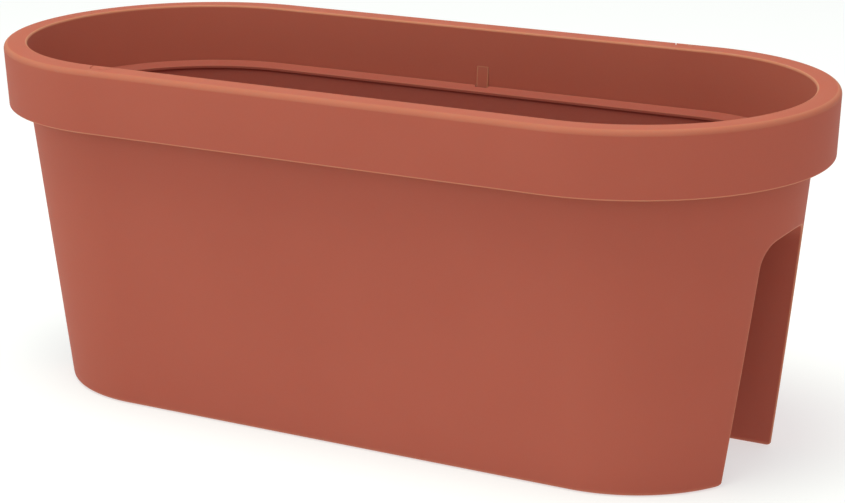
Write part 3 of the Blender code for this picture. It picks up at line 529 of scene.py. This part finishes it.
def legSkin(skin, wallAt, offset, foot, bend, lip):
    # Closed loops round the front and the back leg, from the foot up to where they meet at the crown.
    # Each loop is a stretch of channel wall, a conic lip, the outer wall at one height, and a lip back.
    width, z, ny, nz, drawn = archRows(offset, foot, bend)
    edgeW, edgeZ = width + lip * ny, z + lip * nz
    nearR, farR = wallAt(z) - drawn, wallAt(edgeZ) - drawn
    nearX = straightAt(z, nearR) + np.sqrt(nearR**2 - width**2)
    outer = halfRing(farR, edgeZ, np.arcsin(edgeW / farR))
    start = np.stack([nearX - lip, -width, z], axis=1)
    corner = np.stack([nearX, -width, z], axis=1)
    end = outer[:, 0]
    t = np.linspace(0, 1, lipSteps + 1)[None, 1:-1, None]
    weight = math.sqrt(0.5)
    conic = (1 - t) ** 2 * start[:, None] + 2 * weight * t * (1 - t) * corner[:, None] + t**2 * end[:, None]
    conic /= (1 - t) ** 2 + 2 * weight * t * (1 - t) + t**2
    mirror = np.array([-1.0, 1.0, 1.0])
    across, same = np.linspace(-1, 1, tunnelSteps), np.ones(tunnelSteps)
    tunnel = start[:, None] * np.stack([across, same, same], axis=1)[None]
    loops = np.concatenate([tunnel, conic, outer, (conic * mirror)[:, ::-1]], axis=1)
    for flip in (1.0, -1.0):
        both = loops * np.array([1.0, flip, 1.0])
        skin.grid(both, wrapColumns=True)
        skin.cap(both[0])
    return edgeZ[-1]


def ringSkin(skin, path):
    # Whole stadium rings for each (radius, z) of a path.
    front = halfRing(path[:, 0], path[:, 1])
    back = (front * np.array([1.0, -1.0, 1.0]))[:, ::-1]
    skin.grid(np.concatenate([front, back[:, 1:-1]], axis=1), wrapColumns=True)


def levels(wallAt, low, high, count):
    # Evenly spaced heights z paired with the wall's radius there, as rows (radius, z).
    z = np.linspace(low, high, count)
    return np.stack([wallAt(z), z], axis=1)


def saddleMesh(outerWall, outerOffset, outerFoot, outerBend, outerLip,
               innerWall, innerOffset, innerFoot, innerBend, innerLip, rim):
    # Outer skin up from the feet, over the rim's path, and down the inside to the floors of the legs.
    skin = Skin()
    outerZ = legSkin(skin, outerWall, outerOffset, outerFoot, outerBend, outerLip)
    innerZ = legSkin(skin, innerWall, innerOffset, innerFoot, innerBend, innerLip)
    up = levels(outerWall, outerZ, rim[0, 1], 7)
    down = levels(innerWall, rim[-1, 1], innerZ, 7)
    ringSkin(skin, np.concatenate([up[:-1], rim, down[1:]]))
    return skin.mesh("saddle")


# Case
caseLook = {
    "rimEdge": 0.0036, "rimInnerEdge": 0.0016, "cuffLip": 0.0011, "foot": 0.003, "lip": 0.0016,
    "ledge": 0.1975, "ledgeProud": 0.0033,
    "ribHalf": 0.0045, "ribProud": 0.0018, "ribFade": 0.1, "ribFoot": 0.1958, "ribTop": 0.217,
    "drainRadius": 0.0064, "overflowRadius": 0.003, "overflow": (0.045, 0.053),
}


def caseRim(c):
    # Section of the rim as (radius, z): up the wall, out under the rim's top, down behind the cuff, round its
    # lip, up its face, over the top, and down the inside past the ledge. Every corner becomes a tangent arc.
    p = planter
    inner = caseWall(rimTop) - p["wall"]
    inside = lambda z: caseWall(z) - p["wall"]
    ledge = inside(c["ledge"]) - c["ledgeProud"]
    corners = [
        (caseWall(cuffFoot - 0.012), cuffFoot - 0.012, 0),
        (caseWall(cuffFoot), cuffFoot, 0.006),
        (caseWall(rimTop - p["wall"]), rimTop - p["wall"], 0.0012),
        (rimRadius - p["cuffWall"] - 0.001, rimTop - p["wall"], 0.0015),
        (rimRadius - p["cuffDraft"] - p["cuffWall"], cuffFoot, 0.0009),
        (rimRadius - p["cuffDraft"], cuffFoot, c["cuffLip"]),
        (rimRadius, rimTop, c["rimEdge"]),
        (inner, rimTop, c["rimInnerEdge"]),
        (inside(cuffFoot), cuffFoot, 0.002),
        (inside(c["ledge"]), c["ledge"], 0.0005),
        (ledge, c["ledge"], 0.0007),
        (ledge, c["ledge"] - 0.003, 0.0015),
        (inside(c["ledge"] - 0.006), c["ledge"] - 0.006, 0.002),
        (inside(c["ledge"] - 0.012), c["ledge"] - 0.012, 0),
    ]
    return rounded(corners, steps=8)


def ribMesh(sign, c):
    # An upright key on the middle of a long side. Its depth off the wall fades linearly with the height.
    outline = boxOutline(-c["ribHalf"], c["ribHalf"], -0.0016, c["ribProud"], 0.0009, 4)
    rib = slab(outline, c["ribFoot"], c["ribTop"], 0.0005)
    co = np.zeros(len(rib.vertices) * 3, np.float32)
    rib.vertices.foreach_get("co", co)
    co = co.reshape(-1, 3)
    up = (co[:, 2] - c["ribFoot"]) / (c["ribTop"] - c["ribFoot"])
    co[:, 1] = sign * (caseWall(co[:, 2]) - planter["wall"] - co[:, 1] * (1 - (1 - c["ribFade"]) * up))
    rib.vertices.foreach_set("co", co.ravel())
    return turnedOut(rib)


covers = {
    # node: middle of the short side and body
    "rim_cover_back_right": ((0.149, rimRadius - 0.0085), "cover_back_right"),
    "rim_cover_front_left": ((-0.160, -(rimRadius - 0.0085)), "cover_front_left"),
}
coverLook = {"halfShort": 0.0060, "halfLong": 0.0095, "depth": 0.0085, "reach": 0.0125, "deep": 0.0055,
             "gap": 0.00045}


def coverOutline(where, inset, k):
    # The trapezium of a cover in plan, its long side towards +Y.
    flare = (k["halfLong"] - k["halfShort"]) / k["depth"]
    far = k["halfShort"] + flare * k["reach"]
    side = inset * math.hypot(1, flare)
    return rounded([
        (where[0] - k["halfShort"] + side, where[1] + inset, 0.0004),
        (where[0] + k["halfShort"] - side, where[1] + inset, 0.0004),
        (where[0] + far - side, where[1] + k["reach"], 0),
        (where[0] - far + side, where[1] + k["reach"], 0),
    ], True, 3)


def makeCase(c):
    # Saddle between the case's wall and the same wall moved in by its thickness, minus the drains, the
    # overflow and the covers' pockets. The two ribs are closed shells that stand in the wall.
    p = planter
    shell = saddleMesh(
        caseWall, 0.0, 0.0, c["foot"], c["lip"],
        lambda z: caseWall(z) - p["wall"], p["wall"], p["wall"], 0.003, 0.003, caseRim(c))
    drains = [turnedPin(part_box(f"drain_plug_{side}"), c["drainRadius"]) for side in ("front", "back")]
    x, z = c["overflow"]
    overflow = slab(circleOutline(x, z, c["overflowRadius"]), -0.05, 0.05, along="y")
    pockets = [slab(coverOutline(where, 0.0, coverLook), rimTop - coverLook["deep"], rimTop + 0.01)
               for where, _ in covers.values()]
    shell = carved(shell, joined(*drains, overflow, *pockets))
    return joined(shell, ribMesh(1, c), ribMesh(-1, c))


def turnedOut(mesh):
    # The mesh with every face wound outwards again.
    b = bmesh.new()
    b.from_mesh(mesh)
    bmesh.ops.recalc_face_normals(b, faces=b.faces)
    b.to_mesh(mesh)
    b.free()
    return mesh


def turnedPin(box, radius):
    # An upright cylinder of the radius on the middle of a box, through the floor.
    middle = (box[0] + box[1]) / 2
    return slab(circleOutline(middle.x, middle.y, radius, 64), -0.01, 0.01)


caseMesh = makeCase(caseLook)
addPiece("caseShell", caseMesh, caseMaterial, "case", "case_plastic", "outer_case", sharp=42)
print("case:", len(caseMesh.polygons), "faces")


def makeCover(where, k):
    # The rim's own section inside the trapezium, on two snap legs.
    section = saddleMesh(
        caseWall, 0.0, 0.0, caseLook["foot"], caseLook["lip"],
        lambda z: caseWall(z) - planter["wall"], planter["wall"], planter["wall"], 0.003, 0.003,
        caseRim(caseLook))
    limit = slab(coverOutline(where, k["gap"], k), rimTop - k["deep"] + k["gap"], rimTop + 0.01)
    plate = carved(section, limit, "INTERSECT")
    legs = []
    for sign in (-1, 1):
        x0, x1 = sorted((where[0] + sign * 0.0032, where[0] + sign * 0.0050))
        legs.append(slab(boxOutline(x0, x1, where[1] + 0.0004, where[1] + 0.0020, 0.0004, 2),
                         rimTop - 0.012, rimTop - 0.0015, 0.0004))
    return carved(plate, joined(*legs), "UNION")


for node, (where, body) in covers.items():
    addPiece(node + "_cap", makeCover(where, coverLook), caseMaterial, body, "cover_plastic", node)
print("rim covers done")


# Planting insert (the liner)
linerLook = {
    "wall": 0.002, "underside": 0.007, "floor": 0.060, "flangeRadius": 0.1119, "flange": 0.0025,
    "flangeRise": 0.0036, "lip": 0.001, "lipHeight": 0.0018,
    "radius": 0.1088, "cupHole": 0.0164, "gaugeHole": 0.0119, "fillerHole": 0.0174, "grip": 0.0045,
    "notch": 0.0006,
}
flangeTop = linerHigh.z - linerLook["flangeRise"]  # at its inner edge
flangeFoot = flangeTop - linerLook["flange"]


def linerWall(z):
    # Outer radius of the liner's wall, parallel to the case's.
    return linerLook["radius"] - wallSlope * (flangeFoot - z)


def linerRim(k):
    # Out under the flange, over its slope, and down behind the lip that stands in over the wall.
    foot, wall = flangeFoot, linerWall(flangeFoot) - k["wall"]
    lip, lipFoot = wall - k["lip"], flangeTop - k["lipHeight"]
    corners = [
        (linerWall(foot - 0.010), foot - 0.010, 0),
        (linerWall(foot), foot, 0.0006),
        (k["flangeRadius"], foot, 0.0005),
        (k["flangeRadius"], linerHigh.z, 0.0006),
        (lip, flangeTop, 0.0007),
        (lip, lipFoot, 0.0002),
        (wall, lipFoot - k["lip"], 0.0005),
        (linerWall(foot - 0.012) - k["wall"], foot - 0.012, 0),
    ]
    return rounded(corners, steps=6)


def nodeMiddle(node):
    # Half the sum of the box's two corners.
    low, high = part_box(node)
    return (low + high) / 2


def makeLiner(k):
    # Saddle offset outwards from the channel by underside and wall, minus the round holes for cups, gauge
    # and neck, the notches for the ribs, and the finger grips at both ends.
    shell = saddleMesh(
        linerWall, k["underside"], k["floor"] - k["wall"], 0.0035, 0.003,
        lambda z: linerWall(z) - k["wall"], k["underside"] + k["wall"], k["floor"], 0.003, 0.0035,
        linerRim(k))
    inFloor, inRidge = (k["floor"] - 0.01, k["floor"] + 0.01), (0.160, 0.180)
    bores = [(node, k["cupHole"], inFloor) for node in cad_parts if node.startswith("wick_cup_")]
    bores += [("gauge_tube", k["gaugeHole"], inFloor), ("filler_grate", k["fillerHole"], inRidge)]
    holes = []
    for node, radius, (low, high) in bores:
        m = nodeMiddle(node)
        holes.append(slab(circleOutline(m.x, m.y, radius, 64), low, high))
    for sign in (1, -1):
        inner = caseWall(caseLook["ribFoot"]) - planter["wall"] - caseLook["ribProud"] - k["notch"]
        near, far = sign * inner, sign * (inner + 0.02)
        half = caseLook["ribHalf"] + k["notch"]
        holes.append(slab(boxOutline(-half, half, min(near, far), max(near, far), 0.0005, 3), 0.19, 0.22))
        end = sign * (straightAt(flangeTop, k["flangeRadius"]) + k["flangeRadius"] + k["grip"] / 2)
        holes.append(slab(circleOutline(end, 0.0, k["grip"], 40), flangeTop - 0.0045, flangeTop + 0.01))
    return carved(shell, joined(*holes))


linerMesh = makeLiner(linerLook)
addPiece("linerShell", linerMesh, shadedLinerMaterial, "insert", "insert_plastic", "planting_insert", sharp=42)
print("liner:", len(linerMesh.polygons), "faces")


# Wick cups and their felt discs
cupLook = {
    "foot": 0.0065, "wall": 0.0015, "footRadius": 0.0128, "topRadius": 0.0158, "flangeRadius": 0.0195,
    "drop": 0.004, "slotHalf": 0.0015, "slotLow": 0.014, "slotHigh": 0.046, "slots": 6,
}


def makeCup(k, x, y):
    # A turned section with radius growing linearly from foot to top, minus slots at equal angles.
    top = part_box("wick_cup_front_left")[1].z
    flangeFoot = top - 0.0016
    path = rounded([
        (k["drop"], k["foot"] + k["wall"], 0.0005),
        (k["footRadius"] - k["wall"], k["foot"] + k["wall"], 0.0012),
        (k["topRadius"] - k["wall"], top, 0.0008),
        (k["flangeRadius"], top, 0.0006),
        (k["flangeRadius"], flangeFoot, 0.0004),
        (k["topRadius"], flangeFoot, 0.0005),
        (k["footRadius"], k["foot"], 0.0016),
        (k["drop"], k["foot"], 0.0004),
    ], True, 4)
    cup = turned(path, closed=True, steps=96)
    slots = []
    for i in range(k["slots"] // 2):
        half = k["slotHalf"]
        outline = boxOutline(-half, half, k["slotLow"], k["slotHigh"], half * nearlyRound, 6)
        slots.append(spun(slab(outline, -0.03, 0.03, along="x"), 180 / (k["slots"] // 2) * i + 30, 0, 0))
    for slot in slots:
        cup = carved(cup, slot)
    return spun(cup, 0, x, y)


feltLook = {"radius": 0.0102, "fuzz": 0.00022, "edge": 0.0008}


def makeFelt(k, node):
    # A pressed disc whose surface is lifted by a sum of short waves, as matted fibre is.
    low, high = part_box(node)
    m = (low + high) / 2
    path = rounded([(0, high.z - k["fuzz"], 0), (k["radius"], high.z - k["fuzz"], k["edge"]),
                    (k["radius"], low.z + k["fuzz"], k["edge"]), (0, low.z + k["fuzz"], 0)], steps=5)
    fine = np.concatenate([np.linspace(a, b, 9)[:-1] for a, b in zip(path[:-1], path[1:])] + [path[-1:]])
    mesh = turned(fine, (m.x, m.y), 72)
    co = np.zeros(len(mesh.vertices) * 3, np.float32)
    mesh.vertices.foreach_get("co", co)
    co = co.reshape(-1, 3)
    u, v = (co[:, 0] - m.x) * 1000, (co[:, 1] - m.y) * 1000
    wave = np.sin(3.1 * u + 1.3 * v) + np.sin(2.3 * v - 1.9 * u + 0.7) + np.sin(4.7 * u - 3.3 * v) * 0.7
    co[:, 2] += k["fuzz"] * wave / 2.7
    mesh.vertices.foreach_set("co", co.ravel())
    return mesh


for node in sorted(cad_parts):
    if node.startswith("wick_cup_"):
        m = nodeMiddle(node)
        addPiece(node + "_basket", makeCup(cupLook, m.x, m.y), blackMaterial, "insert", "black_plastic", node)
    if node.startswith("felt_disc_"):
        felt = makeFelt(feltLook, node)
        disc = addPiece(node + "_pad", felt, feltMaterial, "insert", "felt", node, sharp=70)
print("cups and felt discs done")


# Drain plugs and seals
drainLook = {"head": 0.0100, "barrel": 0.0058, "headHeight": 0.0025, "finHalf": 0.006, "finThick": 0.0011}


def makePlug(k, side):
    # Turned head and barrel, joined with an upright fin to pull it by.
    low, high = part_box(f"drain_plug_{side}")
    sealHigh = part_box(f"drain_seal_{side}")[1].z
    m = (low + high) / 2
    headFoot = sealHigh + 0.0003
    headTop = headFoot + k["headHeight"]
    path = rounded([
        (0, headTop, 0), (k["head"], headTop, 0.0009), (k["head"], headFoot, 0.0003),
        (k["barrel"], headFoot, 0.0003), (k["barrel"], low.z, 0.0008), (0, low.z, 0),
    ], steps=5)
    plug = turned(path, (m.x, m.y), 80)
    outline = rounded([
        (m.x - k["finHalf"], headTop - 0.001, 0), (m.x + k["finHalf"], headTop - 0.001, 0),
        (m.x + k["finHalf"] - 0.0015, high.z, 0.002), (m.x - k["finHalf"] + 0.0015, high.z, 0.002)], True, 5)
    fin = slab(outline, m.y - k["finThick"], m.y + k["finThick"], 0.0005, along="y")
    return carved(plug, fin, "UNION")


def makeSeal(side):
    # A rounded rectangle turned about the plug's axis.
    low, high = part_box(f"drain_seal_{side}")
    m = (low + high) / 2
    outer = (high.x - low.x) / 2
    path = rounded([(0.0063, high.z, 0.0006), (outer, high.z, 0.0007), (outer, low.z, 0.0007),
                    (0.0063, low.z, 0.0006)], True, 6)
    return turned(path, (m.x, m.y), 80, closed=True)


for side in ("front", "back"):
    addPiece(f"drainPlug_{side}", makePlug(drainLook, side), blackMaterial, f"drain_{side}", "black_plastic",
             f"drain_plug_{side}")
    addPiece(f"drainSeal_{side}", makeSeal(side), sealMaterial, f"drain_{side}", "seal_rubber",
             f"drain_seal_{side}")
print("drain plugs done")


# Filler: neck, grate, cap and pin
fillerLook = {
    "bore": 0.0142, "mouth": 0.0152, "outer": 0.017, "base": 0.022, "baseHeight": 0.002, "step": 0.192,
    "hinge": 0.003, "lugIn": 0.0060, "lugOut": 0.0090, "hole": 0.00134, "knuckleHalf": 0.0055,
}
pinLow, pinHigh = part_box("filler_hinge_pin")
hingeX, hingeZ = (pinLow.x + pinHigh.x) / 2, (pinLow.z + pinHigh.z) / 2
fillerMiddle = nodeMiddle("filler_grate")


def makeNeck(k):
    # Turned tube with a base flange and a widened mouth, joined with two lugs. Each lug is a half circle
    # round the hinge axis (x + r cos a, z + r sin a) with straight sides down to the tube.
    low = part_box("filler_neck")[0].z
    top = hingeZ - 0.0015
    ridgeTop = planter["channelCrown"] + linerLook["underside"] + linerLook["wall"]
    baseLow = ridgeTop + 0.0003
    path = rounded([
        (k["bore"], k["step"], 0.0003), (k["mouth"], k["step"], 0.0002), (k["mouth"], top, 0.0005),
        (k["outer"], top, 0.0006), (k["outer"], baseLow + k["baseHeight"], 0.0010),
        (k["base"], baseLow + k["baseHeight"], 0.0007), (k["base"], baseLow, 0.0003),
        (k["outer"], baseLow, 0.0002), (k["outer"], low, 0.0005), (k["bore"], low, 0.0005),
    ], True, 5)
    neck = turned(path, (fillerMiddle.x, fillerMiddle.y), 112, closed=True)
    lugs = []
    back = hingeX - k["hinge"]
    for sign in (-1, 1):
        y0, y1 = sorted((sign * k["lugIn"], sign * k["lugOut"]))
        a = np.linspace(0, np.pi, 13)
        arch = np.stack([hingeX + k["hinge"] * np.cos(a), hingeZ + k["hinge"] * np.sin(a)], axis=1)
        tail = np.array([(back, 0.186), (fillerMiddle.x - 0.0138, 0.186), (fillerMiddle.x - 0.0138, 0.1942),
                         (hingeX + k["hinge"], 0.1946)])
        lugs.append(slab(np.concatenate([arch, tail]), y0, y1, 0.0003, 2, along="y"))
    hole = slab(circleOutline(hingeX, hingeZ, k["hole"], 32), -0.02, 0.02, along="y")
    bore = slab(circleOutline(fillerMiddle.x, fillerMiddle.y, k["mouth"], 112), k["step"], top + 0.01)
    neck = carved(neck, joined(*lugs), "UNION")
    return carved(carved(neck, hole), bore)


def makeCap(k):
    # Turned lid with a ring that drops into the mouth, joined with its arm, thumb tab and hinge barrel,
    # and bored along the hinge axis.
    low = hingeZ - 0.0012
    high = low + 0.0025
    x = fillerMiddle.x
    path = rounded([
        (0, high - 0.0004, 0), (0.0125, high - 0.0004, 0.0004), (0.0135, high, 0.0004),
        (0.0185, high, 0.0009),
        (0.0185, low, 0.0004), (0.0147, low, 0.0002), (0.0147, low - 0.0018, 0.0004),
        (0.0132, low - 0.0018, 0.0004), (0.0132, low, 0.0002), (0, low, 0),
    ], steps=4)
    cap = turned(path, (x, 0.0), 112)
    arm = slab(boxOutline(hingeX, x - 0.014, -k["knuckleHalf"], k["knuckleHalf"]), low, high, 0.0004)
    tab = slab(boxOutline(x + 0.015, x + 0.0225, -0.004, 0.004, 0.0018), low, high - 0.0006, 0.0005)
    barrel = slab(circleOutline(hingeX, hingeZ, k["hinge"], 40), -k["knuckleHalf"], k["knuckleHalf"], 0.0003,
                  along="y")
    hole = slab(circleOutline(hingeX, hingeZ, k["hole"], 32), -0.02, 0.02, along="y")
    for extra in (arm, tab, barrel):
        cap = carved(cap, extra, "UNION")
    return carved(cap, hole)


def makeGrate(k):
    # Turned basket with a flange, minus six slots through its side, 30 degrees apart.
    low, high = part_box("filler_grate")
    flangeFoot = high.z - 0.0012
    path = rounded([
        (0.003, low.z + 0.0015, 0.0003), (0.0118, low.z + 0.0015, 0.0008), (0.0122, high.z, 0.0005),
        (0.0149, high.z, 0.0003), (0.0149, flangeFoot, 0.0003), (0.0137, flangeFoot, 0.0002),
        (0.0132, low.z, 0.0010), (0.003, low.z, 0.0003),
    ], True, 4)
    grate = turned(path, closed=True, steps=96)
    for i in range(6):
        outline = boxOutline(-0.0010, 0.0010, 0.1765, 0.189, 0.00095, 5)
        grate = carved(grate, spun(slab(outline, -0.03, 0.03, along="x"), 30 * i + 15, 0, 0))
    return spun(grate, 0, fillerMiddle.x, fillerMiddle.y)


def makePin():
    # A straight pin with a slightly domed head at both ends.
    radius = (pinHigh.x - pinLow.x) / 2
    outline = circleOutline(hingeX, hingeZ, radius, 40)
    return slab(outline, pinLow.y, pinHigh.y, radius * 0.35, 4, along="y")


addPiece("fillerNeck", makeNeck(fillerLook), shadedLinerMaterial, "insert", "neck_plastic", "filler_neck")
addPiece("fillerGrate", makeGrate(fillerLook), blackMaterial, "insert", "black_plastic", "filler_grate")
addPiece("fillerCap", makeCap(fillerLook), caseMaterial, "filler_lid", "cap_plastic", "filler_cap")
addPiece("fillerHingePin", makePin(), wireMaterial, "insert", "pin_steel", "filler_hinge_pin")
print("filler done")


# Water level gauge
gaugeLook = {"outer": 0.0115, "bore": 0.0098, "flange": 0.0155, "rod": 0.002, "slotHalf": 0.002,
             "slotLow": 0.010, "slotHigh": 0.044}


def makeTube(k, x, y):
    # Turned tube with a floor ring and a flange that rests on the liner, minus two crossed slots.
    low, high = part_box("gauge_tube")
    flange = linerLook["floor"] + 0.0003
    path = rounded([
        (0.004, low.z + 0.0015, 0.0003), (k["bore"], low.z + 0.0015, 0.0008), (k["bore"], high.z, 0.0004),
        (k["outer"], high.z, 0.0004), (k["outer"], flange + 0.0015, 0.0008),
        (k["flange"], flange + 0.0015, 0.0006),
        (k["flange"], flange, 0.0003), (k["outer"], flange, 0.0003), (k["outer"], low.z, 0.0010),
        (0.004, low.z, 0.0003),
    ], True, 5)
    tube = turned(path, closed=True, steps=96)
    for i in range(2):
        half = k["slotHalf"]
        outline = boxOutline(-half, half, k["slotLow"], k["slotHigh"], half * nearlyRound, 6)
        tube = carved(tube, spun(slab(outline, -0.03, 0.03, along="x"), 90 * i + 7.5, 0, 0))
    return spun(tube, 0, x, y)


def makeCollar(x, y):
    # Turned ring that guides the rod, its skirt inside the tube.
    low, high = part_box("gauge_collar")
    foot = high.z - 0.002
    path = rounded([
        (0.0026, high.z, 0.0004), (0.0100, high.z, 0.0004), (0.0127, high.z - 0.0006, 0.0007),
        (0.0127, foot, 0.0003),
        (0.0094, foot, 0.0002), (0.0094, low.z, 0.0004), (0.0078, low.z, 0.0003), (0.0078, foot, 0.0004),
        (0.0026, foot, 0.0003),
    ], True, 5)
    return turned(path, (x, y), 96, closed=True)


def makeFloat(x, y):
    # Turned cylinder with rounded edges and a socket for the rod.
    low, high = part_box("gauge_float")
    path = rounded([
        (0, high.z - 0.008, 0), (0.0023, high.z - 0.008, 0), (0.0023, high.z, 0.0003),
        (0.0090, high.z, 0.0018),
        (0.0090, low.z, 0.0018), (0, low.z, 0),
    ], steps=7)
    return turned(path, (x, y), 96)


def makeMarker(x, y):
    # A domed button with a finger groove round it.
    low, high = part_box("gauge_marker")
    path = rounded([
        (0, high.z, 0), (0.0016, high.z, 0), (0.0045, high.z - 0.0010, 0.0012),
        (0.0045, low.z + 0.0032, 0.0003),
        (0.0040, low.z + 0.0027, 0.0003), (0.0040, low.z + 0.0021, 0.0003), (0.0045, low.z + 0.0016, 0.0003),
        (0.0045, low.z, 0.0004), (0.0023, low.z, 0.0003), (0.0023, low.z + 0.0035, 0), (0, low.z + 0.0035, 0),
    ], steps=5)
    return turned(path, (x, y), 72)


def makeRod(k, x, y):
    # Turned rod with rings at even heights along it.
    low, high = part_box("gauge_rod")
    rod = k["rod"]
    path = rounded([(0, high.z, 0), (rod, high.z, 0.0004), (rod, low.z, 0.0004), (0, low.z, 0)], steps=4)
    side = np.stack([np.full(24, rod), np.linspace(high.z, low.z, 26)[1:-1]], axis=1)
    fine = np.concatenate([path[:-2], side, path[-2:]])
    return turned(fine[np.argsort(-fine[:, 1], kind="stable")], (x, y), 48)


gauge = nodeMiddle("gauge_tube")
spot = (gauge.x, gauge.y)
gaugePieces = [
    # name, mesh, material, body, slot, node
    ("gaugeTube", makeTube(gaugeLook, *spot), whiteMaterial, "insert", "tube_plastic", "gauge_tube"),
    ("gaugeCollar", makeCollar(*spot), blackMaterial, "insert", "black_plastic", "gauge_collar"),
    ("gaugeFloat", makeFloat(*spot), foamMaterial, "level_float", "float_foam", "gauge_float"),
    ("gaugeRod", makeRod(gaugeLook, *spot), whiteMaterial, "level_float", "rod_plastic", "gauge_rod"),
    ("gaugeMarker", makeMarker(*spot), redMaterial, "level_float", "marker_plastic", "gauge_marker"),
]
for row in gaugePieces:
    addPiece(*row)
print("gauge done")


# Studio: pale floor, white surround, three soft lamps
studio = {
    "floor": (0.46, 0.46, 0.46), "floorGlow": 0.57, "floorHalf": 6.0,
    "surround": (1.0, 1.0, 1.0), "surroundStrength": 0.57,
    "lamps": {
        # name: position, size, watts, colour
        "keyLamp": ((-1.7, -1.5, 0.7), 1.6, 9.0, (0.80, 1.0, 0.98)),
        "fillLamp": ((1.7, -1.6, 1.2), 1.8, 3.0, (1.0, 0.48, 0.50)),
        "topLamp": ((0.0, -0.5, 2.3), 1.5, 45.0, (0.86, 1.0, 0.86)),
    },
}


def makeStudio(s):
    # A level square floor, an even surround, and disc lamps that all look at a point over the origin.
    h = s["floorHalf"]
    floorMesh = bpy.data.meshes.new("studioFloor")
    floorMesh.from_pydata([(-h, -h, 0), (h, -h, 0), (h, h, 0), (-h, h, 0)], [], [(0, 1, 2, 3)])
    floor = bpy.data.objects.new("studioFloor", floorMesh)
    bpy.context.scene.collection.objects.link(floor)
    floor.location.z = -0.0002
    material, tree, shader = shaderOf("paleFloor")
    shader.inputs["Base Color"].default_value = (*s["floor"], 1)
    shader.inputs["Roughness"].default_value = 0.9
    shader.inputs["Specular IOR Level"].default_value = 0.1
    shader.inputs["Emission Color"].default_value = (1.0, 1.0, 1.0, 1.0)
    shader.inputs["Emission Strength"].default_value = s["floorGlow"]
    floorMesh.materials.append(material)
    world = bpy.data.worlds.new("studioSurround")
    world.use_nodes = True
    background = world.node_tree.nodes["Background"]
    background.inputs["Color"].default_value = (*s["surround"], 1)
    background.inputs["Strength"].default_value = s["surroundStrength"]
    bpy.context.scene.world = world
    for name, (where, size, watts, colour) in s["lamps"].items():
        data = bpy.data.lights.new(name, "AREA")
        data.shape, data.size, data.energy, data.color = "DISK", size, watts, colour
        lamp = bpy.data.objects.new(name, data)
        bpy.context.scene.collection.objects.link(lamp)
        lamp.location = where
        lamp.rotation_mode = "QUATERNION"
        lamp.rotation_quaternion = (Vector((0, 0, 0.12)) - Vector(where)).to_track_quat("-Z", "Y")


makeStudio(studio)
bpy.context.scene.view_settings.view_transform = "Standard"
print("studio lit")
